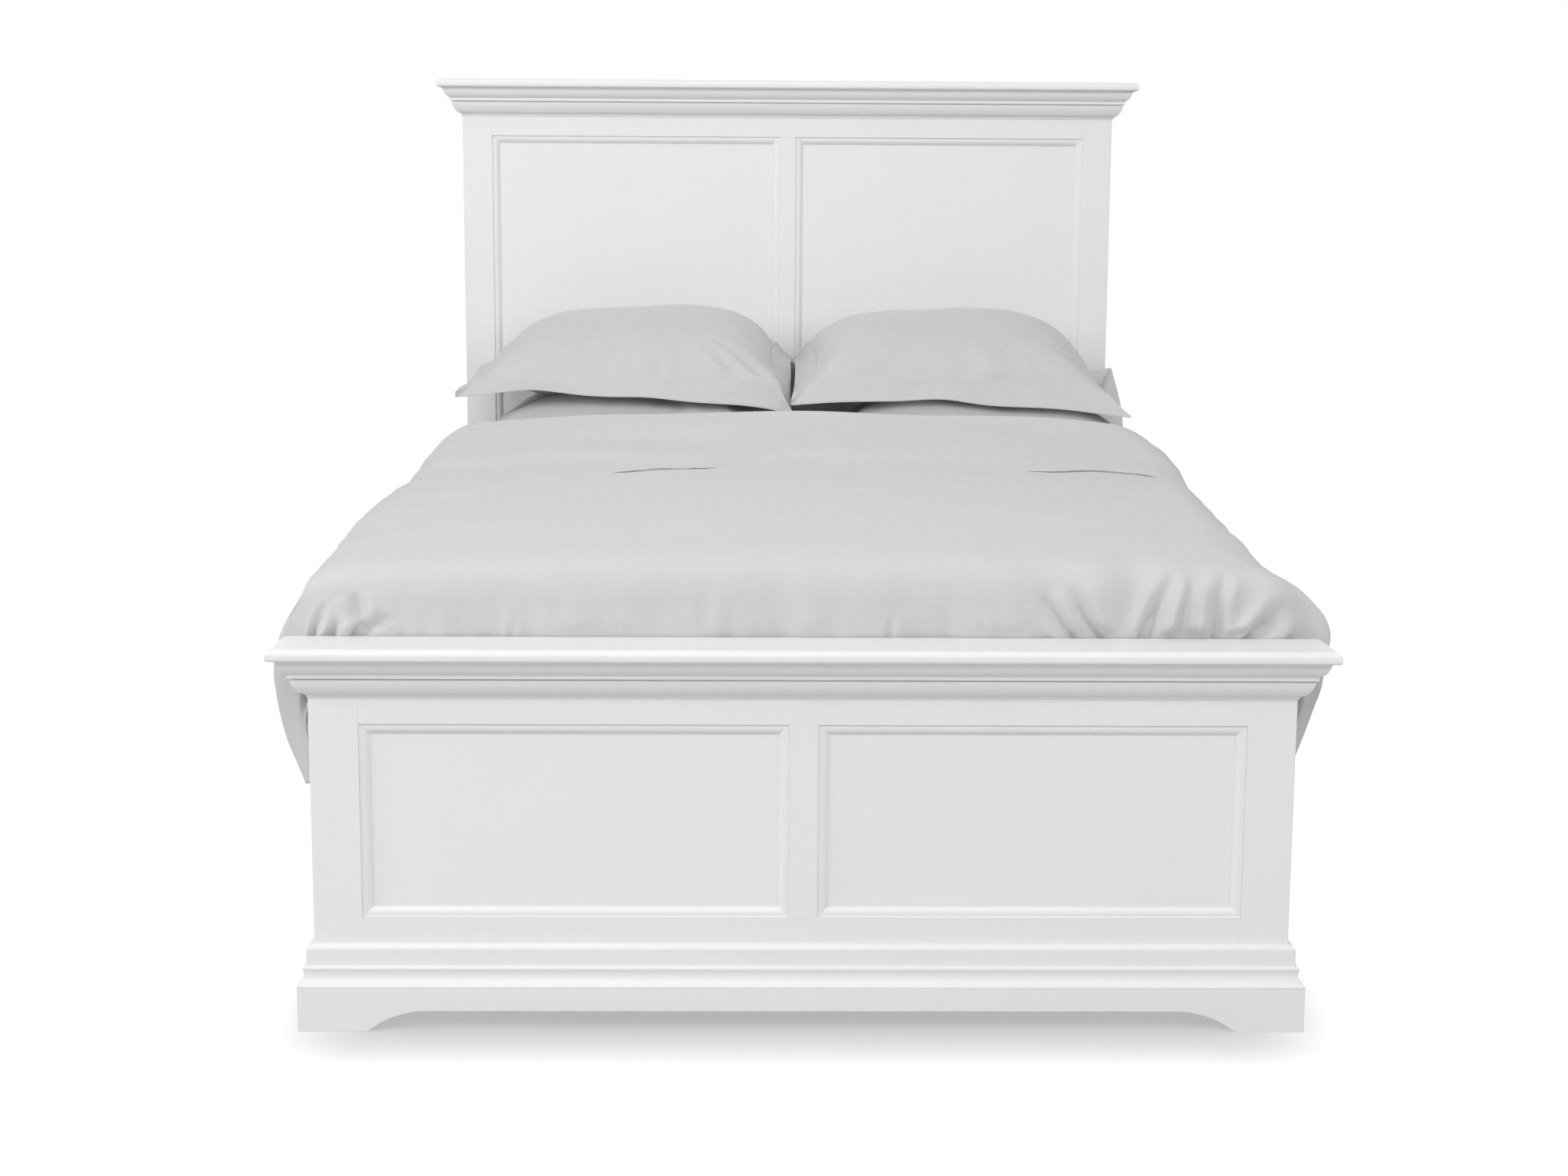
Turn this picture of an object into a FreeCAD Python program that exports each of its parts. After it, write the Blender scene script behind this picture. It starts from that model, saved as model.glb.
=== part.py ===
import FreeCAD, Part
import math
import os

# A double bed: panelled headboard and footboard, hooked side rails, slats with centre legs,
# box spring, mattress, fitted sheet, duvet and four flanged pillows.
# Millimetres. X runs across the bed, Y from the foot to the head, Z up.
# The origin is on the floor, under the middle of the whole bed.

Vector = FreeCAD.Vector
os.makedirs("parts", exist_ok=True)

# Driving sizes of the whole bed
bed_width = 1600.0
clear_length = 2065.0
headboard_height = 1660.0
footboard_height = 640.0
overrun = 5.0

# Boards: posts, rails, centre stile and panels
board_depth = 60.0
member_depth = 40.0
headboard_post_width = 72.0
footboard_post_width = 80.0
headboard_stile_width = 40.0
footboard_stile_width = 47.0
headboard_opening_low = 470.0
headboard_top_rail_height = 114.0
headboard_bottom_rail_height = 140.0
footboard_opening_low = 186.0
footboard_top_rail_height = 111.0
footboard_bottom_rail_height = 136.0
post_edge_radius = 1.5
panel_depth = 10.0
panel_recess = 10.0
groove_depth = 10.0
panel_play = 2.0
joint_clearance = 0.2
tenon_depth = 12.0
tenon_setback = 14.0
tenon_length = 30.0
tenon_shoulder = 15.0
stile_tenon_length = 20.0
stile_tenon_shoulder = 13.0

# Cap board and the mouldings below it
cap_depth = 20.0
cap_overhang = 56.0
cap_back_overhang = 12.0
cap_top_radius = 11.0
cap_under_radius = 5.0
crown_projection = 46.0
crown_height = 31.5
bed_mould_projection = 24.0
bed_mould_height = 35.5
panel_mould_width = 17.0

# Base of the footboard
plinth_height = 74.0
plinth_depth = 25.0
arch_rise = 35.0
bracket_foot_width = 113.0
arch_curve_run = 98.0
base_mould_height = 69.0

# Side rails, ledgers and the hooks that hold the rails to the posts
rail_thickness = 25.0
rail_inset = 7.0
rail_low = 190.0
rail_height = 180.0
rail_edge_radius = 3.0
ledger_width = 22.0
ledger_height = 30.0
ledger_end_gap = 20.0
ledger_rise = 65.0
plate_thickness = 3.0
plate_width = 18.0
plate_height = 150.0
hook_thickness = 3.0
hook_neck_height = 18.0
hook_lip_drop = 8.0
hook_lip_depth = 5.0
hook_spacing = 70.0
hook_clearance = 0.3
pocket_margin = 2.0
screw_head_radius = 4.0
screw_head_depth = 2.6
screw_shank_radius = 2.0
plate_screw_length = 25.0
ledger_screw_length = 38.0
slat_screw_length = 35.0
ledger_screw_count = 6
screw_clearance = 0.1

# Slats, centre legs and levelling feet
slat_depth = 20.0
slat_width = 90.0
slat_end_gap = 1.0
slat_count = 5
slat_end_margin = 150.0
leg_width = 45.0
leg_ground_gap = 25.0
leg_bolt_radius = 4.0
leg_bolt_head_radius = 8.0
leg_bolt_head_depth = 5.0
leg_bolt_length = 80.0
foot_pad_radius = 19.0
foot_pad_height = 10.0
foot_pad_edge_radius = 3.0
foot_stem_radius = 5.0
foot_stem_length = 45.0
foot_hole_spare = 16.0
insert_radius = 8.0
insert_length = 14.0
insert_flange_radius = 12.0
insert_flange_depth = 2.0
thread_clearance = 0.1
glide_radius = 11.0
glide_height = 4.0
glide_pin_radius = 1.5
glide_pin_length = 15.0

# Mattress set
rest_gap = 0.3
mattress_side_gap = 6.0
mattress_head_gap = 4.0
mattress_foot_gap = 29.0
box_spring_height = 225.0
mattress_height = 240.0
corner_radius = 60.0
box_edge_radius = 8.0
mattress_edge_radius = 26.0
sheet_thickness = 1.0

# Duvet
duvet_side_swell = 124.0
duvet_loft = 64.0
duvet_hem_height = 385.0
duvet_foot_gap = 3.5
duvet_tuck_rise = 8.0
duvet_head_gap = 10.0
gather_depth = 15.0
least_puff = 0.6

# Pillows
pillow_width = 660.0
pillow_depth = 508.0
pillow_flange = 51.0
flange_thickness = 6.0
pillow_gap = 5.0
lower_crown = 95.0
lower_belly = 100.0
lower_flat = 80.0
upper_crown = 105.0
upper_belly = 85.0
upper_tilt_deg = 9.0
flange_droop_deg = 50.0
lower_pair_middle_x = 33.5
lower_pair_gap = 41.0
upper_pair_middle_x = 15.0
upper_pair_gap = 4.0

# Places worked out from those sizes
half_width = bed_width / 2
overall_length = cap_overhang + board_depth + clear_length + board_depth
footboard_front_y = cap_overhang - overall_length / 2
footboard_back_y = footboard_front_y + board_depth
headboard_front_y = footboard_back_y + clear_length
rail_outer_x = half_width - rail_inset
rail_inner_x = rail_outer_x - rail_thickness
rail_middle_x = (rail_outer_x + rail_inner_x) / 2
ledger_top_z = rail_low + ledger_rise
slat_top_z = ledger_top_z + slat_depth
mattress_half_width = rail_inner_x - mattress_side_gap
duvet_half_width = mattress_half_width + duvet_side_swell
mattress_foot_y = footboard_back_y + mattress_foot_gap
mattress_head_y = headboard_front_y - mattress_head_gap
box_spring_z = slat_top_z + rest_gap
mattress_z = box_spring_z + box_spring_height + rest_gap
sheet_top_z = mattress_z + mattress_height + sheet_thickness
pillow_reach_x = pillow_width / 2 + pillow_flange
pillow_reach_y = pillow_depth / 2 + pillow_flange


def block(x0, x1, y0, y1, z0, z1):
    """A box between two corners."""
    return Part.makeBox(x1 - x0, y1 - y0, z1 - z0, Vector(x0, y0, z0))


def mirrored(shape):
    """The same piece on the other side of the bed."""
    return shape.mirror(Vector(0, 0, 0), Vector(1, 0, 0))


def outline(place, start, steps):
    """A closed face: each step is a straight run to one point, or an arc through two points."""
    edges = []
    here = place(*start)
    for step in steps:
        there = place(*step[-1])
        if len(step) == 2:
            edges.append(Part.Arc(here, place(*step[0]), there).toShape())
        else:
            edges.append(Part.LineSegment(here, there).toShape())
        here = there
    return Part.Face(Part.Wire(edges))


def polygon_prism(points, direction):
    """A flat polygon pushed along a direction."""
    return Part.Face(Part.makePolygon(points + [points[0]])).extrude(direction)


def scaled(points, wide, high):
    """Outline steps given as shares of a width and a height."""
    return [tuple((u * wide, v * high) for u, v in step) for step in points]


def save(name, solids):
    """One file for a named piece, or for a group of like pieces."""
    group = solids if isinstance(solids, list) else [solids]
    for solid in group:
        if len(solid.Solids) != 1 or not solid.isValid():
            raise ValueError(name + " is not one sound solid")
    singles = [solid.Solids[0] for solid in group]
    shape = singles[0] if len(singles) == 1 else Part.makeCompound(singles)
    shape.exportStep("parts/" + name + ".step")


# Screws: a countersunk head and a plain shank
def screw(point, direction, length, radius, head_radius, head_depth, grow=0):
    """A countersunk screw with its head's face at the point, or with grow the hole for it."""
    head = Part.makeCone(head_radius + grow, radius + grow, head_depth, point, direction)
    return head.fuse(Part.makeCylinder(radius + grow, length + grow, point, direction)).removeSplitter()


def wood_screw(point, direction, length, grow=0):
    """A screw of the size used all over the frame."""
    return screw(point, direction, length, screw_shank_radius, screw_head_radius, screw_head_depth, grow)


# Mouldings. Each outline runs out from the wood and down, and is given as shares of its own size.
crown_shares = [((1, 0),), ((0.945, 0.07), (0.90, 0.19)), ((0.82, 0.50), (0.585, 0.78)),
                ((0.585, 1),), ((0, 1),), ((0, 0),)]
bed_mould_shares = [((0.86, 0),), ((0.86, 0.055),), ((0.98, 0.09),), ((0.86, 0.36), (0.50, 0.72)),
                    ((0.34, 0.79),), ((0.15, 0.86), (0.06, 1)), ((0, 1),), ((0, 0),)]
base_shares = [((0.30, 0.04), (0.42, 0.16)), ((0.42, 0.51),), ((0.60, 0.53), (0.64, 0.60)),
               ((0.70, 0.86), (0.96, 0.96)), ((1, 0.97),), ((1, 1),), ((0, 1),), ((0, 0),)]
panel_mould_shares = [((0, 0.04),), ((0.05, 0.20), (0.17, 0.27)), ((0.64, 0.42), (0.93, 0.88)),
                      ((1, 0.90),), ((1, 1),), ((0, 1),)]


def wrapped_moulding(shares, projection, height, top_z, front_y, back_y):
    """Three mitred lengths: along the front and back along each side of a board."""
    steps = scaled(shares, projection, height)
    corner = half_width + projection
    face = outline(lambda p, h: Vector(-corner, front_y - p, top_z - h), (0, 0), steps)
    front = face.extrude(Vector(2 * corner, 0, 0))
    low = top_z - height - overrun
    tall = Vector(0, 0, height + 2 * overrun)
    front_plan = [Vector(-corner, front_y - projection, low), Vector(corner, front_y - projection, low),
                  Vector(half_width, front_y, low), Vector(-half_width, front_y, low)]
    front = front.common(polygon_prism(front_plan, tall))
    face = outline(lambda p, h: Vector(-half_width - p, front_y - projection, top_z - h), (0, 0), steps)
    side = face.extrude(Vector(0, back_y - front_y + projection, 0))
    side_plan = [Vector(-corner, front_y - projection, low), Vector(-half_width, front_y, low),
                 Vector(-half_width, back_y, low), Vector(-corner, back_y, low)]
    side = side.common(polygon_prism(side_plan, tall))
    return [front, side, mirrored(side)]


def cap_board(height, front_y, back_y, back_overhang):
    """The cap, with its nose rounded along the front and both ends."""
    edge_x = half_width + cap_overhang
    edge_y = front_y - cap_overhang
    board = block(-edge_x, edge_x, edge_y, back_y + back_overhang, height - cap_depth, height)
    for level, radius in ((height, cap_top_radius), (height - cap_depth, cap_under_radius)):
        nose = []
        for edge in board.Edges:
            middle = edge.BoundBox.Center
            at_end = abs(abs(middle.x) - edge_x) < joint_clearance
            at_front = abs(middle.y - edge_y) < joint_clearance
            if abs(middle.z - level) < joint_clearance and (at_end or at_front):
                nose.append(edge)
        board = board.makeFillet(radius, nose)
    return board


def panel_strip(front_y, start, end, inward):
    """One mitred length of the moulding that frames a panel."""
    along_x = end[0] - start[0]
    along_z = end[1] - start[1]
    length = math.hypot(along_x, along_z)
    unit = (along_x / length, along_z / length)
    steps = scaled(panel_mould_shares, panel_mould_width, panel_recess)

    def place(u, v):
        return Vector(start[0] + inward[0] * u, front_y + v, start[1] + inward[1] * u)

    strip = outline(place, (0, panel_recess), steps).extrude(Vector(along_x, 0, along_z))
    wide = panel_mould_width
    near_y = front_y - overrun
    plan = [Vector(start[0], near_y, start[1]), Vector(end[0], near_y, end[1]),
            Vector(end[0] + wide * (inward[0] - unit[0]), near_y, end[1] + wide * (inward[1] - unit[1])),
            Vector(start[0] + wide * (inward[0] + unit[0]), near_y, start[1] + wide * (inward[1] + unit[1]))]
    return strip.common(polygon_prism(plan, Vector(0, panel_recess + 2 * overrun, 0)))


def panel_frame(front_y, x0, x1, z0, z1):
    """The four mitred strips round one panel."""
    return [panel_strip(front_y, (x0, z0), (x1, z0), (0, 1)),
            panel_strip(front_y, (x1, z1), (x0, z1), (0, -1)),
            panel_strip(front_y, (x0, z1), (x0, z0), (1, 0)),
            panel_strip(front_y, (x1, z0), (x1, z1), (-1, 0))]


# Boards: two posts, two rails and a stile, tenoned together round two grooved-in panels
def grown_block(x0, x1, y0, y1, z0, z1, grow):
    """A box with the same clearance all round."""
    return block(x0 - grow, x1 + grow, y0 - grow, y1 + grow, z0 - grow, z1 + grow)


def rail_tenon(front_y, inner_x, low, high, grow=0):
    """The tongue at the left end of a rail, or the mortise for it."""
    tenon_y = front_y + tenon_setback
    return grown_block(-inner_x - tenon_length, -inner_x, tenon_y, tenon_y + tenon_depth,
                       low + tenon_shoulder, high - tenon_shoulder, grow)


def stile_tenons(front_y, stile_width, low, high, grow=0):
    """The tongues at both ends of a centre stile, or the mortises for them."""
    half = stile_width / 2 - stile_tenon_shoulder
    tenon_y = front_y + tenon_setback
    return grown_block(-half, half, tenon_y, tenon_y + tenon_depth,
                       low - stile_tenon_length, high + stile_tenon_length, grow)


def board_members(front_y, height, post_width, stile_width, opening_low, top_rail, bottom_rail):
    """Every wooden piece between the cap and the floor, by name."""
    top_z = height - cap_depth
    opening_high = top_z - top_rail
    inner_x = half_width - post_width
    stile_x = stile_width / 2
    panel_y = front_y + panel_recess
    rails = {"top_rail": (opening_high, top_z), "bottom_rail": (opening_low - bottom_rail, opening_low)}
    groove = block(stile_x - groove_depth, inner_x + groove_depth, panel_y - joint_clearance,
                   panel_y + panel_depth + joint_clearance, opening_low - groove_depth,
                   opening_high + groove_depth)
    post = block(-half_width, -inner_x, front_y, front_y + board_depth, 0, top_z)
    corners = [edge for edge in post.Edges
               if abs(edge.BoundBox.ZLength - top_z) < joint_clearance
               and abs(edge.BoundBox.Center.x + half_width) < joint_clearance]
    post = post.makeFillet(post_edge_radius, corners).cut(mirrored(groove))
    pieces = {}
    for name, (low, high) in rails.items():
        post = post.cut(rail_tenon(front_y, inner_x, low, high, joint_clearance))
        tenon = rail_tenon(front_y, inner_x, low, high)
        rail = block(-inner_x, inner_x, front_y, front_y + member_depth, low, high)
        rail = rail.fuse([tenon, mirrored(tenon)]).removeSplitter()
        rail = rail.cut([groove, mirrored(groove)])
        pieces[name] = rail.cut(stile_tenons(front_y, stile_width, opening_low, opening_high,
                                             joint_clearance))
    pieces["left_post"] = post
    pieces["right_post"] = mirrored(post)
    stile = block(-stile_x, stile_x, front_y, front_y + member_depth, opening_low, opening_high)
    stile = stile.fuse(stile_tenons(front_y, stile_width, opening_low, opening_high)).removeSplitter()
    pieces["centre_stile"] = stile.cut([groove, mirrored(groove)])
    reach = groove_depth - panel_play
    panel = block(stile_x - reach, inner_x + reach, panel_y, panel_y + panel_depth,
                  opening_low - reach, opening_high + reach)
    pieces["right_panel"] = panel
    pieces["left_panel"] = mirrored(panel)
    frame = panel_frame(front_y, stile_x, inner_x, opening_low, opening_high)
    pieces["right_panel_moulding"] = frame
    pieces["left_panel_moulding"] = [mirrored(strip) for strip in frame]
    return pieces


def board_top(height, front_y, back_overhang):
    """The cap and the two mouldings under it."""
    back_y = front_y + board_depth
    top_z = height - cap_depth
    pieces = {"cap": cap_board(height, front_y, back_y, back_overhang)}
    pieces["crown_moulding"] = wrapped_moulding(crown_shares, crown_projection, crown_height,
                                                top_z, front_y, back_y)
    pieces["bed_moulding"] = wrapped_moulding(bed_mould_shares, bed_mould_projection, bed_mould_height,
                                              top_z - crown_height, front_y, back_y)
    return pieces


def plinth():
    """The front plinth with its arch between two bracket feet, and the plinth at each side."""
    corner = half_width + plinth_depth
    arch_half_width = corner - bracket_foot_width
    flat_x = arch_half_width - arch_curve_run
    radius = (arch_curve_run ** 2 + arch_rise ** 2) / (2 * arch_rise)
    turn = math.asin(arch_curve_run / radius) / 2
    curve_x = flat_x + radius * math.sin(turn)
    curve_z = arch_rise - radius * (1 - math.cos(turn))
    front_y = footboard_front_y
    steps = [((-corner, plinth_height),), ((corner, plinth_height),), ((corner, 0),),
             ((arch_half_width, 0),), ((curve_x, curve_z), (flat_x, arch_rise)), ((-flat_x, arch_rise),),
             ((-curve_x, curve_z), (-arch_half_width, 0)), ((-corner, 0),)]
    face = outline(lambda x, z: Vector(x, front_y - plinth_depth, z), (-corner, 0), steps)
    front = face.extrude(Vector(0, plinth_depth, 0))
    tall = Vector(0, 0, plinth_height)
    plan = [Vector(-corner, front_y - plinth_depth, 0), Vector(corner, front_y - plinth_depth, 0),
            Vector(half_width, front_y, 0), Vector(-half_width, front_y, 0)]
    front = front.common(polygon_prism(plan, tall))
    side = polygon_prism([Vector(-corner, front_y - plinth_depth, 0), Vector(-half_width, front_y, 0),
                          Vector(-half_width, footboard_back_y, 0),
                          Vector(-corner, footboard_back_y, 0)], tall)
    return {"plinth_front": front, "left_plinth_return": side, "right_plinth_return": mirrored(side)}


# Bed-rail fasteners: hook plates on the rail ends drop into slotted plates let into the posts
def plate_rows():
    """Heights of the two hooks and of the two screws on each plate."""
    middle = rail_low + rail_height / 2
    hooks = [middle + side * hook_spacing / 2 - hook_neck_height / 2 for side in (-1, 1)]
    screws = [middle - plate_height / 2 + plate_width / 2, middle + plate_height / 2 - plate_width / 2]
    return middle, hooks, screws


def hook_fastener(post_face_y, towards_rail):
    """Rail plate, post plate, screws and the wood cut away for them, at the right-hand rail."""
    middle, hooks, screws = plate_rows()
    x0 = rail_middle_x - plate_width / 2
    x1 = rail_middle_x + plate_width / 2
    low = middle - plate_height / 2
    high = middle + plate_height / 2
    into_post = -towards_rail

    def slab(y_from, y_to, xa, xb, za, zb):
        ya = post_face_y + into_post * y_from
        yb = post_face_y + into_post * y_to
        return block(xa, xb, min(ya, yb), max(ya, yb), za, zb)

    rail_plate = slab(-plate_thickness, 0, x0, x1, low, high)
    post_plate = slab(0, plate_thickness, x0, x1, low, high)
    post_cut = slab(0, plate_thickness, x0, x1, low, high)
    hook_x = rail_middle_x - hook_thickness / 2
    lip_start = plate_thickness + hook_clearance
    lip_end = lip_start + hook_lip_depth
    for hook_z in hooks:
        neck = slab(0, lip_end, hook_x, hook_x + hook_thickness, hook_z, hook_z + hook_neck_height)
        lip = slab(lip_start, lip_end, hook_x, hook_x + hook_thickness, hook_z - hook_lip_drop, hook_z)
        rail_plate = rail_plate.fuse([neck, lip])
        slot_top = hook_z + hook_neck_height + hook_lip_drop + hook_clearance
        post_plate = post_plate.cut(slab(-overrun, plate_thickness + overrun, hook_x - hook_clearance,
                                         hook_x + hook_thickness + hook_clearance,
                                         hook_z - hook_clearance, slot_top))
        post_cut = post_cut.fuse(slab(0, lip_end + pocket_margin, hook_x - pocket_margin,
                                      hook_x + hook_thickness + pocket_margin,
                                      hook_z - hook_lip_drop - pocket_margin, slot_top + pocket_margin))
    rail_plate = rail_plate.removeSplitter()
    fixings = []
    rail_holes = []
    for screw_z in screws:
        point = Vector(rail_middle_x, post_face_y, screw_z)
        post_way = Vector(0, into_post, 0)
        rail_way = Vector(0, towards_rail, 0)
        fixings.append(wood_screw(point, post_way, plate_screw_length))
        fixings.append(wood_screw(point, rail_way, plate_screw_length))
        hole = wood_screw(point, post_way, plate_screw_length, screw_clearance)
        post_plate = post_plate.cut(hole)
        post_cut = post_cut.fuse(hole)
        hole = wood_screw(point, rail_way, plate_screw_length, screw_clearance)
        rail_plate = rail_plate.cut(hole)
        rail_holes.append(hole)
    return rail_plate, post_plate, fixings, post_cut, rail_holes


def side_rails(posts):
    """Both rails with their fasteners and ledgers; the posts' shapes are cut for the plates."""
    start_y = footboard_back_y + plate_thickness
    end_y = headboard_front_y - plate_thickness
    rail = block(rail_inner_x, rail_outer_x, start_y, end_y, rail_low, rail_low + rail_height)
    long_edges = [edge for edge in rail.Edges
                  if abs(edge.BoundBox.YLength - (end_y - start_y)) < joint_clearance
                  and abs(edge.BoundBox.Center.z - rail_low - rail_height) < joint_clearance]
    rail = rail.makeFillet(rail_edge_radius, long_edges)
    plates = []
    slotted = []
    screws = []
    for name, face_y, towards_rail in (("footboard", footboard_back_y, 1),
                                       ("headboard", headboard_front_y, -1)):
        rail_plate, post_plate, fixings, post_cut, rail_holes = hook_fastener(face_y, towards_rail)
        rail = rail.cut(rail_holes)
        right = posts[name]["right_post"].cut(post_cut)
        posts[name]["right_post"] = right
        posts[name]["left_post"] = mirrored(right)
        plates += [rail_plate, mirrored(rail_plate)]
        slotted += [post_plate, mirrored(post_plate)]
        screws += fixings + [mirrored(one) for one in fixings]
    ledger = block(rail_inner_x - ledger_width, rail_inner_x, start_y + ledger_end_gap,
                   end_y - ledger_end_gap, ledger_top_z - ledger_height, ledger_top_z)
    ledger_screws = []
    for index in range(ledger_screw_count):
        share = (index + 1 / 2) / ledger_screw_count
        point = Vector(rail_inner_x - ledger_width, start_y + share * (end_y - start_y),
                       ledger_top_z - ledger_height / 2)
        ledger_screws.append(wood_screw(point, Vector(1, 0, 0), ledger_screw_length))
        hole = wood_screw(point, Vector(1, 0, 0), ledger_screw_length, screw_clearance)
        ledger = ledger.cut(hole)
        rail = rail.cut(hole)
    ledger_screws += [mirrored(one) for one in ledger_screws]
    return rail, ledger, plates, slotted, screws, ledger_screws


# Slats across the ledgers, with a leg and a levelling foot under the first, middle and last
def slat_places():
    """Middle of each slat along the bed."""
    first = footboard_back_y + slat_end_margin
    last = headboard_front_y - slat_end_margin
    return [first + index * (last - first) / (slat_count - 1) for index in range(slat_count)]


def slats_and_legs(ledger):
    """Slats with their screws, centre legs with bolts, inserts and feet."""
    pieces = {}
    slat_screws = []
    bolts = []
    inserts = []
    half_length = rail_inner_x - slat_end_gap
    screw_x = rail_inner_x - ledger_width / 2
    leg_number = 0
    for index, y in enumerate(slat_places()):
        slat = block(-half_length, half_length, y - slat_width / 2, y + slat_width / 2,
                     ledger_top_z, slat_top_z)
        for side in (-1, 1):
            point = Vector(side * screw_x, y, slat_top_z)
            slat_screws.append(wood_screw(point, Vector(0, 0, -1), slat_screw_length))
            hole = wood_screw(point, Vector(0, 0, -1), slat_screw_length, screw_clearance)
            slat = slat.cut(hole)
            if side > 0:
                ledger = ledger.cut(hole)
        if index % 2 == 0:
            leg_number += 1
            head = Vector(0, y, slat_top_z)
            down = Vector(0, 0, -1)
            bolts.append(screw(head, down, leg_bolt_length, leg_bolt_radius, leg_bolt_head_radius,
                               leg_bolt_head_depth))
            hole = screw(head, down, leg_bolt_length, leg_bolt_radius, leg_bolt_head_radius,
                         leg_bolt_head_depth, screw_clearance)
            slat = slat.cut(hole)
            leg, insert, foot = centre_leg(y)
            pieces["centre_leg_%d" % leg_number] = leg.cut(hole)
            pieces["levelling_foot_%d" % leg_number] = foot
            inserts.append(insert)
        pieces["cross_slat_%d" % (index + 1)] = slat
    return pieces, slat_screws, bolts, inserts, ledger


def centre_leg(y):
    """A square leg, the threaded insert in its end, and the foot screwed into that."""
    half = leg_width / 2
    leg = block(-half, half, y - half, y + half, leg_ground_gap, ledger_top_z)
    end = Vector(0, y, leg_ground_gap)
    up = Vector(0, 0, 1)
    barrel = Part.makeCylinder(insert_radius, insert_length, end, up)
    flange = Part.makeCylinder(insert_flange_radius, insert_flange_depth, end, up)
    body = barrel.fuse(flange).removeSplitter()
    leg = leg.cut(body)
    stem_top = foot_pad_height + foot_stem_length
    room = Part.makeCylinder(foot_stem_radius + thread_clearance, stem_top + foot_hole_spare - leg_ground_gap,
                             end, up)
    leg = leg.cut(room)
    insert = body.cut(room)
    pad = Part.makeCylinder(foot_pad_radius, foot_pad_height, Vector(0, y, 0), up)
    rims = [edge for edge in pad.Edges
            if edge.BoundBox.XLength > foot_pad_radius
            and abs(edge.BoundBox.Center.z - foot_pad_height) < joint_clearance]
    pad = pad.makeFillet(foot_pad_edge_radius, rims)
    stem = Part.makeCylinder(foot_stem_radius, foot_stem_length, Vector(0, y, foot_pad_height), up)
    return leg, insert, pad.fuse(stem).removeSplitter()


def post_glides(posts):
    """Nail-on glides under the headboard posts, which the posts are shortened for."""
    middle_x = half_width - headboard_post_width / 2
    middle_y = headboard_front_y + board_depth / 2
    button = Part.makeCylinder(glide_radius, glide_height, Vector(middle_x, middle_y, 0), Vector(0, 0, 1))
    pin = Part.makeCylinder(glide_pin_radius, glide_pin_length, Vector(middle_x, middle_y, glide_height),
                            Vector(0, 0, 1))
    glide = button.fuse(pin).removeSplitter()
    air = block(half_width - headboard_post_width - overrun, half_width + overrun,
                headboard_front_y - overrun, headboard_front_y + board_depth + overrun, 0, glide_height)
    right = posts["headboard"]["right_post"].cut([air, glide])
    posts["headboard"]["right_post"] = right
    posts["headboard"]["left_post"] = mirrored(right)
    return [glide, mirrored(glide)]


# Box spring, mattress and fitted sheet
def padded_block(half_x, y0, y1, z0, z1, corner, edge_radius):
    """A block with rounded corners in plan and softer top and bottom edges."""
    solid = block(-half_x, half_x, y0, y1, z0, z1)
    upright = [edge for edge in solid.Edges if edge.BoundBox.ZLength > (z1 - z0) / 2]
    solid = solid.makeFillet(corner, upright)
    flat = [edge for edge in solid.Edges if edge.BoundBox.ZLength < joint_clearance]
    return solid.makeFillet(edge_radius, flat)


def mattress_set():
    """The three pieces that the bedding lies on."""
    box_spring = padded_block(mattress_half_width, mattress_foot_y, mattress_head_y, box_spring_z,
                              box_spring_z + box_spring_height, corner_radius, box_edge_radius)
    mattress = padded_block(mattress_half_width, mattress_foot_y, mattress_head_y, mattress_z,
                            mattress_z + mattress_height, corner_radius, mattress_edge_radius)
    skin = padded_block(mattress_half_width + sheet_thickness, mattress_foot_y - sheet_thickness,
                        mattress_head_y + sheet_thickness, mattress_z - sheet_thickness, sheet_top_z,
                        corner_radius + sheet_thickness, mattress_edge_radius + sheet_thickness)
    low = block(-bed_width, bed_width, mattress_foot_y - overrun, mattress_head_y + overrun,
                mattress_z - overrun, mattress_z + mattress_edge_radius)
    return {"box_spring": box_spring, "mattress": mattress,
            "fitted_sheet": skin.cut(low).cut(mattress)}


# Duvet. Stations run from the tucked foot end to the turned-back head end, as shares:
# place along the duvet, height of the crest, height and width of the shoulder, width of the
# hanging side, and depth of the gathers. Heights go from the tucked end at 0 to full loft at 1.
station_shares = [
    (0.000, 0.47, 0.33, 0.890, 0.982, 1.00),
    (0.007, 0.64, 0.50, 0.889, 0.990, 1.00),
    (0.021, 0.78, 0.63, 0.886, 0.996, 0.90),
    (0.050, 0.88, 0.70, 0.883, 0.995, 0.65),
    (0.120, 0.95, 0.75, 0.886, 0.984, 0.30),
    (0.260, 1.00, 0.81, 0.890, 0.994, 0.00),
    (0.510, 1.01, 0.89, 0.895, 0.980, 0.00),
    (0.780, 1.00, 0.92, 0.899, 0.991, 0.00),
    (0.792, 1.09, 1.00, 0.910, 0.998, 0.00),
    (0.890, 1.28, 1.05, 0.905, 0.988, 0.00),
    (0.975, 1.55, 1.14, 0.880, 0.978, 0.00),
    (1.000, 1.40, 1.05, 0.870, 0.970, 0.00),
]
# Where the gathers sit across the top, and how deep each valley is
gather_shares = [(-1.00, 0.0), (-0.94, 0.4), (-0.88, 0.6), (-0.80, 0.9), (-0.45, 0.3), (-0.05, 0.25),
                 (0.33, 0.5), (0.50, 1.0), (0.59, 0.8), (0.69, 0.9), (0.79, 0.8), (0.90, 0.5), (1.00, 0.0)]
hem_width_share = 0.95
bulge_height_share = 0.66
gather_puff_share = 0.20


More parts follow.
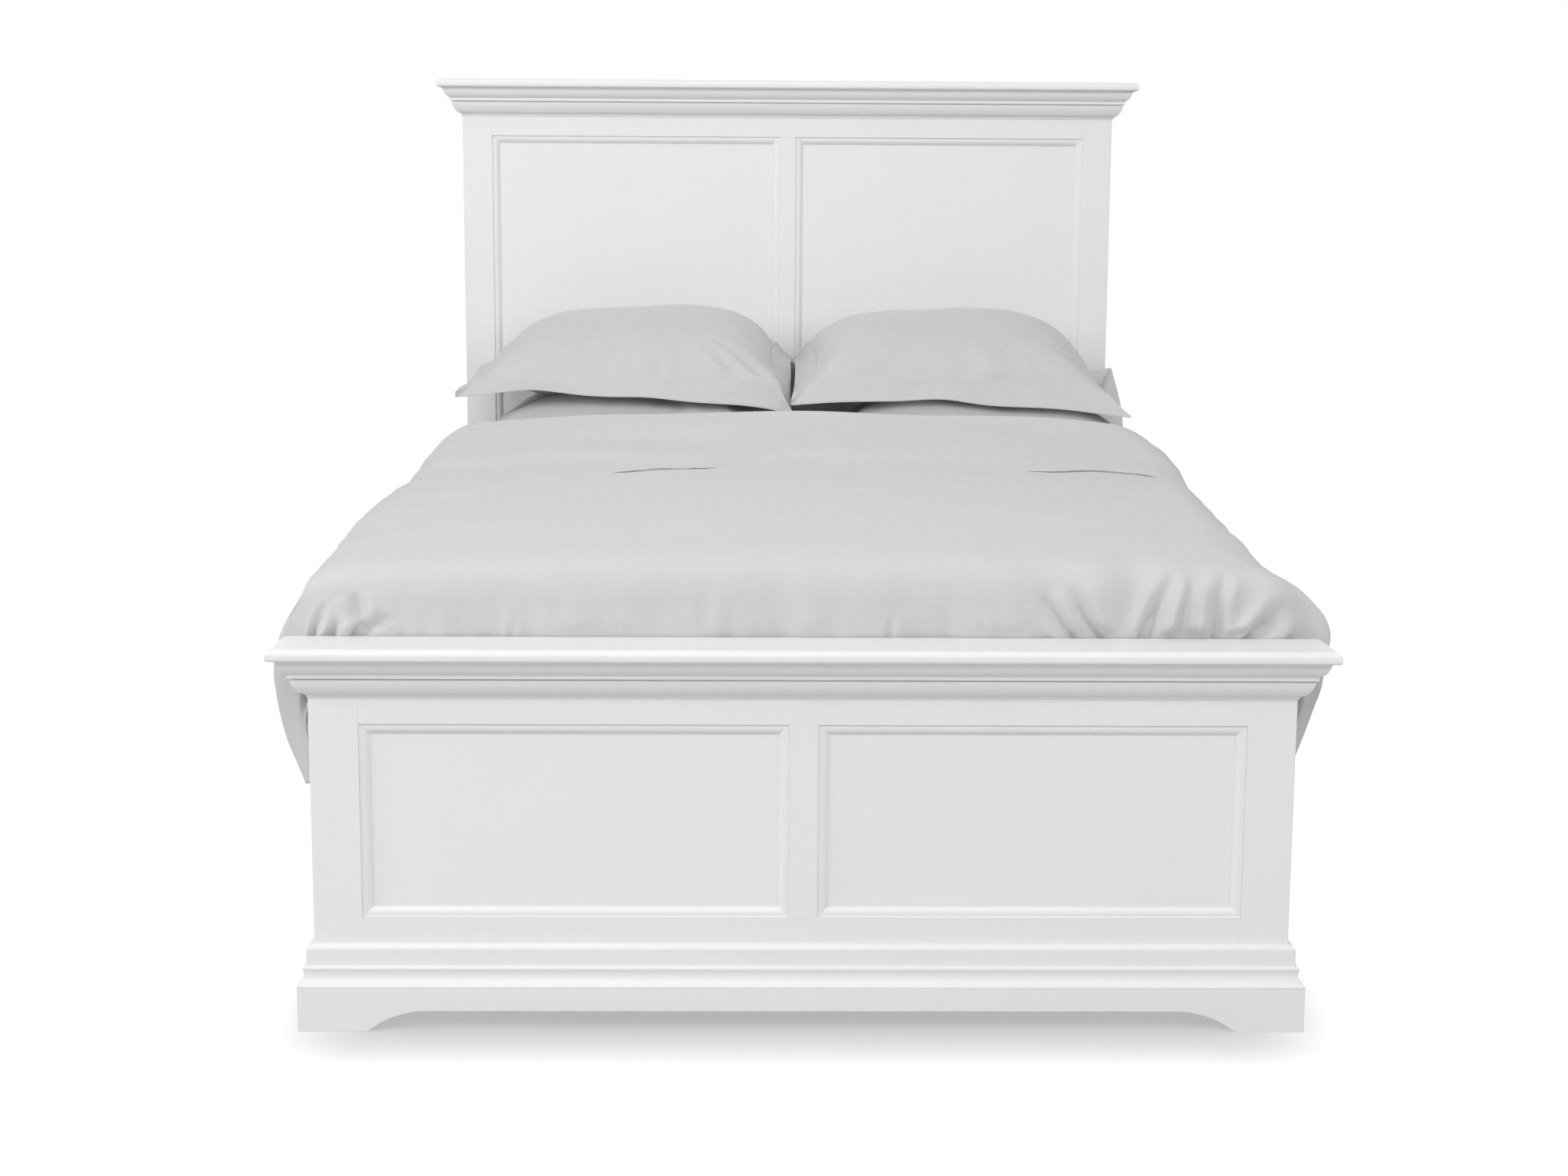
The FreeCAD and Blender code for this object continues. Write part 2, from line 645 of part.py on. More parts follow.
def duvet_section(y, crest, shoulder_z, shoulder_x, side_x, depth, hem_z, bulge_z):
    """A closed outline across the bed: both hanging sides and the gathered top."""

    def top(share, drop):
        return Vector(share * shoulder_x, y, shoulder_z + (crest - shoulder_z) * (1 - abs(share) ** 3) - drop)

    hem_x = duvet_half_width * hem_width_share
    valleys = [top(share, depth * weight) for share, weight in gather_shares]
    edges = [Part.Arc(Vector(-hem_x, y, hem_z), Vector(-side_x, y, bulge_z), valleys[0]).toShape()]
    for index in range(len(valleys) - 1):
        middle_share = (gather_shares[index][0] + gather_shares[index + 1][0]) / 2
        puff = least_puff + gather_puff_share * depth
        edges.append(Part.Arc(valleys[index], top(middle_share, -puff), valleys[index + 1]).toShape())
    edges.append(Part.Arc(valleys[-1], Vector(side_x, y, bulge_z), Vector(hem_x, y, hem_z)).toShape())
    edges.append(Part.LineSegment(Vector(hem_x, y, hem_z), Vector(-hem_x, y, hem_z)).toShape())
    return Part.Wire(edges)


def duvet(foot_y, head_y):
    """The duvet over the mattress, tucked down behind the footboard."""
    tucked = footboard_height + duvet_tuck_rise
    full = sheet_top_z + duvet_loft
    bulge_z = duvet_hem_height + bulge_height_share * (tucked - duvet_hem_height)
    wires = []
    for along, crest, shoulder, shoulder_wide, side_wide, depth in station_shares:
        wires.append(duvet_section(foot_y + along * (head_y - foot_y), tucked + crest * (full - tucked),
                                   tucked + shoulder * (full - tucked), shoulder_wide * duvet_half_width,
                                   side_wide * duvet_half_width, depth * gather_depth,
                                   duvet_hem_height, bulge_z))
    body = Part.makeLoft(wires, True, True)
    grow = sheet_thickness + rest_gap
    room = padded_block(mattress_half_width + grow, mattress_foot_y - grow, mattress_head_y + grow,
                        duvet_hem_height - corner_radius, sheet_top_z + rest_gap, corner_radius + grow,
                        mattress_edge_radius + grow)
    return body.cut(room)


# Pillows: a crowned body between arcs, with a flat flange all round
crown_station_shares = [(1.0, 0.07), (0.93, 0.40), (0.78, 0.68), (0.42, 0.93), (0.0, 1.0)]
draw_in_share = 0.05


def pillow_section(x, crown, belly, draw, droop):
    """The outline of a pillow across its depth, in its own frame."""
    half = pillow_depth / 2 * (1 - draw)
    thin = flange_thickness / 2
    tip_y = -half - pillow_flange * math.cos(droop)
    tip_z = -pillow_flange * math.sin(droop)
    steps = [((tip_y, tip_z + thin),), ((-half, thin),), ((0, max(crown, flange_thickness)), (half, thin)),
             ((half + pillow_flange, thin),), ((half + pillow_flange, -thin),), ((half, -thin),),
             ((0, -max(belly, flange_thickness)), (-half, -thin)), ((tip_y, tip_z - thin),)]
    edges = []
    here = Vector(x, tip_y, tip_z - thin)
    for step in steps:
        there = Vector(x, step[-1][0], step[-1][1])
        if len(step) == 2:
            edges.append(Part.Arc(here, Vector(x, step[0][0], step[0][1]), there).toShape())
        else:
            edges.append(Part.LineSegment(here, there).toShape())
        here = there
    return Part.Wire(edges)


def pillow(crown, belly, droop_deg):
    """A flanged pillow lying flat about its own middle."""
    droop = math.radians(droop_deg)
    half = pillow_width / 2
    stations = [(-half - pillow_flange, 0, 0)]
    stations += [(-share * half, fullness, 1 - share) for share, fullness in crown_station_shares]
    stations += [(share * half, fullness, 1 - share) for share, fullness in crown_station_shares[-2::-1]]
    stations.append((half + pillow_flange, 0, 0))
    wires = [pillow_section(x, crown * fullness, belly * fullness, draw_in_share * inward, droop)
             for x, fullness, inward in stations]
    return Part.makeLoft(wires, True, True)


def arc_radius(half_chord, rise):
    """Radius of the arc that rises this far over half its chord."""
    return (half_chord ** 2 + rise ** 2) / (2 * rise)


def fullness_beside(offset):
    """Share of its full crown that a pillow keeps this far to the side of its middle."""
    outer_share, outer_fullness = crown_station_shares[-2]
    return 1 - (1 - outer_fullness) * offset / (outer_share * pillow_width / 2)


def upper_pillow_height(lower_middle_z, offset):
    """Height at which a tilted upper pillow just clears the crown of the lower one."""
    half = pillow_depth / 2 * (1 - draw_in_share)
    thin = flange_thickness / 2
    belly = upper_belly * fullness_beside(offset)
    lower_radius = arc_radius(half, lower_crown - thin)
    upper_radius = arc_radius(half, belly - thin)
    tilt = math.radians(upper_tilt_deg)
    lower_centre_z = lower_middle_z + lower_crown - lower_radius
    aside = math.sin(tilt) * (upper_radius - belly)
    between = math.sqrt((lower_radius + upper_radius + rest_gap) ** 2 - aside ** 2)
    return lower_centre_z + between - math.cos(tilt) * (upper_radius - belly)


def pair_places(middle_x, gap):
    """Middles of two pillows that lie side by side."""
    return middle_x - gap / 2 - pillow_reach_x, middle_x + gap / 2 + pillow_reach_x


def pillows():
    """Two pillows on the mattress and one lying tilted on each."""
    middle_y = headboard_front_y - pillow_gap - pillow_reach_y
    lower_left_x, lower_right_x = pair_places(lower_pair_middle_x, lower_pair_gap)
    upper_left_x, upper_right_x = pair_places(upper_pair_middle_x, upper_pair_gap)
    lower_z = sheet_top_z + rest_gap + lower_flat
    left_z = upper_pillow_height(lower_z, abs(upper_left_x - lower_left_x))
    right_z = upper_pillow_height(lower_z, abs(upper_right_x - lower_right_x))
    lower = pillow(lower_crown, lower_belly, 0)
    span = pillow_width + pillow_flange
    lower = lower.cut(block(-span, span, -span, span, -lower_belly - overrun, -lower_flat))
    upper = pillow(upper_crown, upper_belly, flange_droop_deg)
    upper.rotate(Vector(0, 0, 0), Vector(1, 0, 0), upper_tilt_deg)
    pieces = {}
    for name, shape, x, z in (("lower_left_pillow", lower, lower_left_x, lower_z),
                              ("lower_right_pillow", lower, lower_right_x, lower_z),
                              ("upper_left_pillow", upper, upper_left_x, left_z),
                              ("upper_right_pillow", upper, upper_right_x, right_z)):
        placed = shape.copy()
        placed.translate(Vector(x, middle_y, z))
        pieces[name] = placed
    return pieces, middle_y - pillow_reach_y


# Build every piece and write it
boards = {
    "headboard": board_members(headboard_front_y, headboard_height, headboard_post_width,
                               headboard_stile_width, headboard_opening_low, headboard_top_rail_height,
                               headboard_bottom_rail_height),
    "footboard": board_members(footboard_front_y, footboard_height, footboard_post_width,
                               footboard_stile_width, footboard_opening_low, footboard_top_rail_height,
                               footboard_bottom_rail_height),
}
boards["headboard"].update(board_top(headboard_height, headboard_front_y, 0))
boards["footboard"].update(board_top(footboard_height, footboard_front_y, cap_back_overhang))
boards["footboard"].update(plinth())
boards["footboard"]["base_moulding"] = wrapped_moulding(
    base_shares, plinth_depth, base_mould_height, plinth_height + base_mould_height,
    footboard_front_y, footboard_back_y)
right_rail, right_ledger, rail_plates, post_plates, plate_screws, ledger_screws = side_rails(boards)
slat_pieces, slat_screws, leg_bolts, leg_inserts, right_ledger = slats_and_legs(right_ledger)
glides = post_glides(boards)
for board_name, members in boards.items():
    for member_name, member in members.items():
        save(board_name + "_" + member_name, member)
save("right_side_rail", right_rail)
save("left_side_rail", mirrored(right_rail))
save("right_ledger", right_ledger)
save("left_ledger", mirrored(right_ledger))
save("rail_hook_plates", rail_plates)
save("post_slot_plates", post_plates)
save("plate_screws", plate_screws)
save("ledger_screws", ledger_screws)
save("slat_screws", slat_screws)
save("leg_bolts", leg_bolts)
save("leg_thread_inserts", leg_inserts)
save("headboard_glides", glides)
for piece_name, piece in slat_pieces.items():
    save(piece_name, piece)
for piece_name, piece in mattress_set().items():
    save(piece_name, piece)
pillow_pieces, pillow_front_y = pillows()
for piece_name, piece in pillow_pieces.items():
    save(piece_name, piece)
duvet_foot_y = footboard_back_y + cap_back_overhang + duvet_foot_gap
save("duvet", duvet(duvet_foot_y, pillow_front_y - duvet_head_gap))
print("footboard front face at Y %.1f, headboard front face at Y %.1f" % (footboard_front_y, headboard_front_y))
print("mattress top at Z %.1f, pillows start at Y %.1f" % (sheet_top_z, pillow_front_y))
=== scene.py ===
# %% [markdown]
# This lesson dresses a painted double bed. Its wooden frame, its metal fittings and every size
# come ready made as solids, and stay where they are. What is left to do is what the eye notices
# first: the paint, the linen, the way a duvet lies and gathers, and the plump pillows on it.

# %% Load the solids
import math

import bpy
import numpy as np
from mathutils import Matrix, Vector
from mathutils.bvhtree import BVHTree


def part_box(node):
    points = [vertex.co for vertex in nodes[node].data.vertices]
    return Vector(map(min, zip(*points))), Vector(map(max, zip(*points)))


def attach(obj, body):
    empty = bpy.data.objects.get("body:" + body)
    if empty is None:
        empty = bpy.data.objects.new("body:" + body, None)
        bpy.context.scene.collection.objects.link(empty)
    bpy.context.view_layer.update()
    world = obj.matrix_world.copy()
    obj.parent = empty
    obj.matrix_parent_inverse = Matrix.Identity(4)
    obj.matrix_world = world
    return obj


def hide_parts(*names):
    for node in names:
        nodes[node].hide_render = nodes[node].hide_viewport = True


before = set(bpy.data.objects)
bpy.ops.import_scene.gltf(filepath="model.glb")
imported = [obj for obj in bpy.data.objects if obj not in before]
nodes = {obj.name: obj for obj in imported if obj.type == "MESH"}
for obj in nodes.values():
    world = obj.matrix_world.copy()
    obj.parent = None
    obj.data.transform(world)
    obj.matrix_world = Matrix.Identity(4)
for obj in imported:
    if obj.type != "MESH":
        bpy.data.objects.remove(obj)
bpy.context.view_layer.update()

MM = 0.001

# %% [markdown]
# A few helpers serve the whole lesson. Colours are picked as sRGB hex values, the way a paint or
# thread card is scanned, and one function turns them into the linear values a shader works in.
# Another adds a shader node with its settings and links, so that a material reads as a short list.

# %% Helpers for colours and shader nodes
# The colour output of a Mix node
mixed_colour = 2


def linear(hex_colour):
    """An sRGB hex colour as linear red, green, blue and alpha."""
    shares = [int(hex_colour[place:place + 2], 16) / 255 for place in (1, 3, 5)]
    return [c / 12.92 if c <= 0.04045 else ((c + 0.055) / 1.055) ** 2.4 for c in shares] + [1.0]


def two_colours(first_hex, second_hex):
    """Values for the two colour inputs of a Mix node, which are its inputs 6 and 7."""
    return {6: linear(first_hex), 7: linear(second_hex)}


def add_node(tree, kind, values=None, links=None, **settings):
    """Adds one shader node, sets its settings and input values, and links its inputs.

    An input goes by its name or number, and a link from a node starts at its first output.
    """
    node = tree.nodes.new("ShaderNode" + kind)
    for name, value in settings.items():
        setattr(node, name, value)
    for name, value in (values or {}).items():
        node.inputs[name].default_value = value
    for name, source in (links or {}).items():
        output = source.outputs[0] if hasattr(source, "outputs") else source
        tree.links.new(output, node.inputs[name])
    return node


def new_material(name, coordinates="Object"):
    """A node material, its node tree, and the coordinates that its textures take."""
    material = bpy.data.materials.new(name)
    material.use_nodes = True
    tree = material.node_tree
    tree.nodes.clear()
    return material, tree, add_node(tree, "TexCoord").outputs[coordinates]


def show_surface(tree, shader):
    """Links a shader to the material's output."""
    add_node(tree, "OutputMaterial", links={"Surface": shader})


def new_object(name, data):
    """A new object in the scene."""
    thing = bpy.data.objects.new(name, data)
    bpy.context.scene.collection.objects.link(thing)
    return thing


# %% [markdown]
# The camera stands where the photographer stood: a little left of the bed's middle, 1.3 m above
# the floor and 3.6 m in front of the footboard, looking slightly down. The three angles and the
# focal length were found from the edges of the posts and caps. Building the rotation from its three
# directions avoids juggling with Euler angles.

# %% Camera
camera_place = Vector((-0.0863, -4.6859, 1.3008))
camera_yaw = math.radians(0.831)
camera_pitch = math.radians(8.902)
camera_roll = math.radians(-0.326)
focal_length_px = 2918.1
photo_width_px = 2000
sensor_width_mm = 36

ahead = Vector((math.sin(camera_yaw) * math.cos(camera_pitch),
                math.cos(camera_yaw) * math.cos(camera_pitch), -math.sin(camera_pitch)))
level_right = Vector((math.cos(camera_yaw), -math.sin(camera_yaw), 0))
level_up = level_right.cross(ahead)
image_right = level_right * math.cos(camera_roll) - level_up * math.sin(camera_roll)
image_up = level_up * math.cos(camera_roll) + level_right * math.sin(camera_roll)
camera_data = bpy.data.cameras.new("photo_camera")
camera_data.sensor_width = sensor_width_mm
camera_data.lens = sensor_width_mm * focal_length_px / photo_width_px
camera = new_object("photo_camera", camera_data)
camera.matrix_world = Matrix.Translation(camera_place) @ Matrix(
    (image_right, image_up, -ahead)).transposed().to_4x4()
bpy.context.scene.camera = camera
print("lens:", round(camera_data.lens, 2), "mm")

# %% [markdown]
# The studio is white all round, and the bed throws only a soft shadow under itself. The floor is an
# ordinary pale floor for the light that bounces off it. Where the camera or a mirror looks at it,
# part of its brightness is its own, which lifts it to the white of the backdrop and still lets the
# shadow show. That own light is weaker under the bed and a hand's breadth round it, which adds a
# painted shadow there to the real one. The sky that lights the bed is a plain white too.

# %% Floor and backdrop
floor_size = 60.0
floor_colours = ("#C6C6C6", "#C2C2C2")
floor_shadow_share = 0.25
# The floor's own light near the bed and far from it; the weaker own light near it is a painted shadow
own_light_near = 0.44
own_light_far = 0.93
painted_shadow_reach = 0.26
painted_shadow_half_size = (0.70, 1.09, 1.0)
white = (1, 1, 1, 1)
backdrop_strength = 1.0
sky_strength = 0.47

reach = floor_size / 2
floor_mesh = bpy.data.meshes.new("studio_floor")
floor_mesh.from_pydata([(-reach, -reach, 0), (reach, -reach, 0), (reach, reach, 0), (-reach, reach, 0)],
                       [], [(0, 1, 2, 3)])
floor = new_object("studio_floor", floor_mesh)


def seen_directly(tree):
    """1 for what the camera or a clear reflection sees, and 0 for light on its way elsewhere."""
    path = add_node(tree, "LightPath").outputs
    either = add_node(tree, "Math", links={0: path["Is Camera Ray"], 1: path["Is Glossy Ray"]},
                      operation="MAXIMUM")
    return add_node(tree, "Math", links={0: either, 1: path["Is Transmission Ray"]}, operation="MAXIMUM")


def white_floor():
    """A pale floor that looks white to the camera, apart from its shadow and a painted shadow round the bed.
    """
    material, tree, place = new_material("white_studio_floor")
    grain = add_node(tree, "TexNoise", {"Scale": 3.0, "Detail": 2.0})
    tone = add_node(tree, "Mix", two_colours(*floor_colours), {"Factor": grain}, data_type="RGBA")
    bounce = add_node(tree, "BsdfDiffuse", links={"Color": tone.outputs[mixed_colour]})
    shadow = add_node(tree, "BsdfDiffuse", {"Color": [floor_shadow_share] * 3 + [1]})
    # Own light grows with the distance from a box round the bed, which paints a shadow near the bed
    mirrored = add_node(tree, "VectorMath", links={0: place}, operation="ABSOLUTE")
    beyond = add_node(tree, "VectorMath", {1: painted_shadow_half_size}, {0: mirrored}, operation="SUBTRACT")
    outside = add_node(tree, "VectorMath", links={0: beyond}, operation="MAXIMUM")
    away = add_node(tree, "VectorMath", links={0: outside}, operation="LENGTH")
    glow = add_node(tree, "MapRange", {"From Min": 0.0, "From Max": painted_shadow_reach,
                                       "To Min": own_light_near, "To Max": own_light_far},
                    {"Value": away.outputs["Value"]}, interpolation_type="SMOOTHSTEP")
    lift = add_node(tree, "Emission", links={"Strength": glow})
    lifted = add_node(tree, "AddShader", links={0: shadow, 1: lift})
    mixed = add_node(tree, "MixShader", links={0: seen_directly(tree), 1: bounce, 2: lifted})
    show_surface(tree, mixed)
    return material


def white_world():
    """A white backdrop to the camera, and a dimmer white sky as a light."""
    world = bpy.data.worlds.new("white_studio")
    world.use_nodes = True
    tree = world.node_tree
    tree.nodes.clear()
    sky = add_node(tree, "Background", {"Color": white, "Strength": sky_strength})
    backdrop = add_node(tree, "Background", {"Color": white, "Strength": backdrop_strength})
    mixed = add_node(tree, "MixShader", links={0: seen_directly(tree), 1: sky, 2: backdrop})
    add_node(tree, "OutputWorld", links={"Surface": mixed})
    return world


floor_mesh.materials.append(white_floor())
bpy.context.scene.world = white_world()
bpy.context.scene.view_settings.view_transform = "Standard"

# %% [markdown]
# A furniture studio hangs large soft boxes. The strongest one here hangs high in front of the bed, a
# little to the left. The key light stands on the left, which makes the left side of the duvet lighter
# than the right and puts soft shade beside every moulding. A weak one overhead lights the caps and
# the bedding, and another fills the right.

# %% Soft boxes
bed_middle = (0, 0, 0.6)
# Name, place, width, height and power
soft_boxes = [("front_soft_box", (-0.8, -5.4, 4.8), 4.0, 2.4, 138),
              ("key_soft_box", (-5.0, -2.8, 3.0), 2.6, 2.2, 104),
              ("top_soft_box", (-0.2, -0.8, 4.4), 3.2, 3.2, 24),
              ("fill_soft_box", (4.6, -5.0, 2.4), 2.4, 2.4, 58)]
for name, place, width, height, power in soft_boxes:
    light = bpy.data.lights.new(name, "AREA")
    light.shape = "RECTANGLE"
    light.size = width
    light.size_y = height
    light.energy = power
    lamp = new_object(name, light)
    lamp.location = place
    lamp.rotation_euler = (Vector(bed_middle) - Vector(place)).to_track_quat("-Z", "Y").to_euler()

# %% [markdown]
# The frame is poplar and fibreboard, sprayed with an off-white satin lacquer. Sprayed lacquer has a
# very fine orange peel and a faint memory of the grain below it. Its sharp edges are painted a little
# paler, as a painted highlight where they catch the light. The Bevel node rounds every sharp edge for
# the light alone, which is what makes painted joinery look real. The grain runs along each member, so
# there is one paint per direction.

# %% Painted wood
lacquer_colours = ("#E8EAE8", "#E4E6E4")
# A paler colour for sharp edges: a painted highlight, not wear
edge_highlight_colour = "#EFEFEC"
edge_radius_mm = 1.2
orange_peel_mm = 5.0
grain_width_mm = 7.0
grain_length_mm = 180.0


def painted_wood(name, grain_axis):
    """Off-white satin lacquer on wood whose grain runs along one axis."""
    material, tree, place = new_material(name)
    steps = [1 / (grain_width_mm * MM)] * 3
    steps[grain_axis] = 1 / (grain_length_mm * MM)
    stretched = add_node(tree, "Mapping", {"Scale": steps}, {"Vector": place})
    grain = add_node(tree, "TexNoise", {"Scale": 1.0, "Detail": 3.0, "Roughness": 0.6}, {"Vector": stretched})
    peel = add_node(tree, "TexNoise", {"Scale": 1 / (orange_peel_mm * MM), "Detail": 1.0}, {"Vector": place})
    cloud = add_node(tree, "TexNoise", {"Scale": 2.2, "Detail": 2.0}, {"Vector": place})
    edge = add_node(tree, "Bevel", {"Radius": edge_radius_mm * MM}, samples=4)
    face = add_node(tree, "NewGeometry")
    same_way = add_node(tree, "VectorMath", links={0: edge, 1: face.outputs["Normal"]},
                        operation="DOT_PRODUCT")
    # Where the bevelled normal turns away from the face's normal, the edge gets the paler painted highlight
    edge_highlight_share = add_node(tree, "MapRange", {"From Min": 0.90, "From Max": 0.995, "To Min": 1.0, "To Max": 0.0},
                    {"Value": same_way.outputs["Value"]})
    tone = add_node(tree, "Mix", two_colours(*lacquer_colours), {"Factor": cloud}, data_type="RGBA")
    edge_highlighted = add_node(tree, "Mix", {7: linear(edge_highlight_colour)},
                      {"Factor": edge_highlight_share, 6: tone.outputs[mixed_colour]}, data_type="RGBA")
    rough = add_node(tree, "MapRange", {"To Min": 0.36, "To Max": 0.46}, {"Value": grain})
    fine = add_node(tree, "Bump", {"Strength": 0.05, "Distance": 0.4 * MM}, {"Height": peel, "Normal": edge})
    grained = add_node(tree, "Bump", {"Strength": 0.06, "Distance": 0.5 * MM},
                       {"Height": grain, "Normal": fine})
    paint = add_node(tree, "BsdfPrincipled", {"IOR": 1.5},
                     {"Base Color": edge_highlighted.outputs[mixed_colour], "Roughness": rough, "Normal": grained})
    show_surface(tree, paint)
    return material


paint_along = {axis: painted_wood("satin_lacquer_grain_" + axis, index)
               for index, axis in enumerate("xyz")}

# %% [markdown]
# Slats, ledgers and the tops of the centre legs are never painted on such a bed. They are sawn pine:
# pale, with darker late-wood lines along the board and a rough, dull face. A wave texture bent by
# noise gives the lines, stretched along the board like the real growth rings.

# %% Bare pine
late_wood_spacing_mm = 9.0
# A wave texture takes its scale in radians
wave_turn = 6.28


def bare_pine(name, grain_axis):
    """Sawn pine with its lines along one axis."""
    material, tree, place = new_material(name)
    steps = [1.0] * 3
    steps[grain_axis] = 0.04
    stretched = add_node(tree, "Mapping", {"Scale": steps}, {"Vector": place})
    wander = add_node(tree, "TexNoise", {"Scale": 14.0, "Detail": 2.0}, {"Vector": stretched})
    bent = add_node(tree, "VectorMath", {1: (0.05, 0.05, 0.05)},
                    {0: wander.outputs["Color"], 2: stretched}, operation="MULTIPLY_ADD")
    rings = add_node(tree, "TexWave", {"Scale": 1 / (late_wood_spacing_mm * MM) / wave_turn},
                     {"Vector": bent}, bands_direction="DIAGONAL", wave_profile="SAW")
    pores = add_node(tree, "TexNoise", {"Scale": 700.0, "Detail": 2.0}, {"Vector": stretched})
    tone = add_node(tree, "Mix", two_colours("#E2C79A", "#C9A06A"), {"Factor": rings.outputs["Fac"]},
                    data_type="RGBA")
    bump = add_node(tree, "Bump", {"Strength": 0.25, "Distance": 0.5 * MM}, {"Height": pores})
    wood = add_node(tree, "BsdfPrincipled", {"Roughness": 0.75},
                    {"Base Color": tone.outputs[mixed_colour], "Normal": bump})
    show_surface(tree, wood)
    return material


pine_along = {axis: bare_pine("sawn_pine_grain_" + axis, index) for index, axis in enumerate("xyz")}

# %% [markdown]
# The hook plates, bolts and screws are pressed steel with a bright zinc plating, and the glides and
# levelling feet are black nylon. Zinc shows a soft crystalline mottling in its reflections, so its
# roughness varies and its colour hardly does. Moulded nylon is dark, with a fine matt grain.

# %% Zinc and nylon
zinc_crystal_mm = 6.0
nylon_grain_mm = 0.8


def zinc_plated_steel():
    """Bright zinc on pressed steel."""
    material, tree, place = new_material("zinc_plated_steel")
    crystals = add_node(tree, "TexVoronoi", {"Scale": 1 / (zinc_crystal_mm * MM)}, {"Vector": place})
    mottle = crystals.outputs["Color"]
    rough = add_node(tree, "MapRange", {"To Min": 0.28, "To Max": 0.45}, {"Value": mottle})
    tone = add_node(tree, "Mix", two_colours("#BFC3C6", "#CDD0D1"), {"Factor": mottle}, data_type="RGBA")
    metal = add_node(tree, "BsdfPrincipled", {"Metallic": 1.0},
                     {"Base Color": tone.outputs[mixed_colour], "Roughness": rough})
    show_surface(tree, metal)
    return material


def moulded_nylon():
    """Black nylon with the fine grain of its mould."""
    material, tree, place = new_material("moulded_black_nylon")
    grain = add_node(tree, "TexNoise", {"Scale": 1 / (nylon_grain_mm * MM), "Detail": 1.0}, {"Vector": place})
    tone = add_node(tree, "Mix", two_colours("#1B1B1C", "#262627"), {"Factor": grain}, data_type="RGBA")
    bump = add_node(tree, "Bump", {"Strength": 0.2, "Distance": 0.2 * MM}, {"Height": grain})
    plastic = add_node(tree, "BsdfPrincipled", {"Roughness": 0.5, "IOR": 1.53},
                       {"Base Color": tone.outputs[mixed_colour], "Normal": bump})
    show_surface(tree, plastic)
    return material


zinc = zinc_plated_steel()
nylon = moulded_nylon()

# %% [markdown]
# Each wooden solid now gets the paint or pine whose grain runs along it. Posts, stiles and panels
# were cut with the grain upright, rails and mouldings run across the bed, and the side rails run
# along it. A solid's longest side tells which it is, except for the panels.

# %% Materials on the frame's solids
bare_nodes = ("ledger", "cross_slat")
steel_words = ("plates", "screws", "bolts", "inserts")
nylon_words = ("glides", "levelling_foot")
soft_nodes = ("box_spring", "mattress", "fitted_sheet", "duvet", "lower_left_pillow",
              "lower_right_pillow", "upper_left_pillow", "upper_right_pillow")


def longest_axis(node):
    """The letter of the axis along which a solid is longest."""
    low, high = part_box(node)
    size = high - low
    return "xyz"[max(range(3), key=lambda axis: size[axis])]


def frame_material(node):
    """What a solid of the frame is made of."""
    if any(word in node for word in steel_words):
        return zinc
    if any(word in node for word in nylon_words):
        return nylon
    if any(word in node for word in bare_nodes):
        return pine_along[longest_axis(node)]
    if "panel" in node and "moulding" not in node:
        return paint_along["z"]
    return paint_along[longest_axis(node)]


for node, solid in nodes.items():
    if node not in soft_nodes:
        solid.data.materials.clear()
        solid.data.materials.append(frame_material(node))

# %% [markdown]
# All the bedding is woven. Percale, the cotton of the duvet and the pillow covers, has fine round
# threads one over, one under. Real threads are a quarter of a millimetre apart, far finer than a
# picture of a whole bed can show, so the weave is drawn several times coarser. Slubs, which are
# thicker stretches of yarn, and a soft nap at a low angle do the rest.

# %% Woven cloth
drawn_thread_mm = 1.6
slub_width_mm = 2.5
slub_length_mm = 60.0


def woven_cloth(name, light_hex, dark_hex, thread_mm=drawn_thread_mm, weave_depth=0.35, nap=0.25):
    """Plain-woven cloth; its texture coordinates are metres of the flat cloth."""
    material, tree, flat = new_material(name, "UV")
    threads = {}
    slubs = {}
    slub_steps = ((1 / slub_width_mm, 1 / slub_length_mm), (1 / slub_length_mm, 1 / slub_width_mm))
    for way, direction in enumerate("XY"):
        thread_scale = 1 / (thread_mm * MM) / wave_turn
        wave = add_node(tree, "TexWave", {"Scale": thread_scale, "Distortion": 0.3}, {"Vector": flat},
                        bands_direction=direction)
        threads[way] = wave.outputs["Fac"]
        steps = slub_steps[way]
        run = add_node(tree, "Mapping", {"Scale": (steps[0] / MM, steps[1] / MM, 1)}, {"Vector": flat})
        slubs[way] = add_node(tree, "TexNoise", {"Scale": 1.0, "Detail": 2.0}, {"Vector": run})
    weave = add_node(tree, "Math", links=threads, operation="MULTIPLY")
    yarn = add_node(tree, "Math", links=slubs, operation="ADD")
    share = add_node(tree, "MapRange", {"From Min": 0.6, "From Max": 1.4}, {"Value": yarn})
    tone = add_node(tree, "Mix", two_colours(dark_hex, light_hex), {"Factor": share}, data_type="RGBA")
    bump = add_node(tree, "Bump", {"Strength": weave_depth, "Distance": 0.12 * MM}, {"Height": weave})
    uneven = add_node(tree, "Bump", {"Strength": 0.12, "Distance": 0.3 * MM},
                      {"Height": yarn, "Normal": bump})
    cloth = add_node(tree, "BsdfPrincipled", {"Roughness": 0.88, "Sheen Weight": nap,
                                              "Sheen Roughness": 0.5, "Specular IOR Level": 0.25},
                     {"Base Color": tone.outputs[mixed_colour], "Normal": uneven})
    show_surface(tree, cloth)
    return material


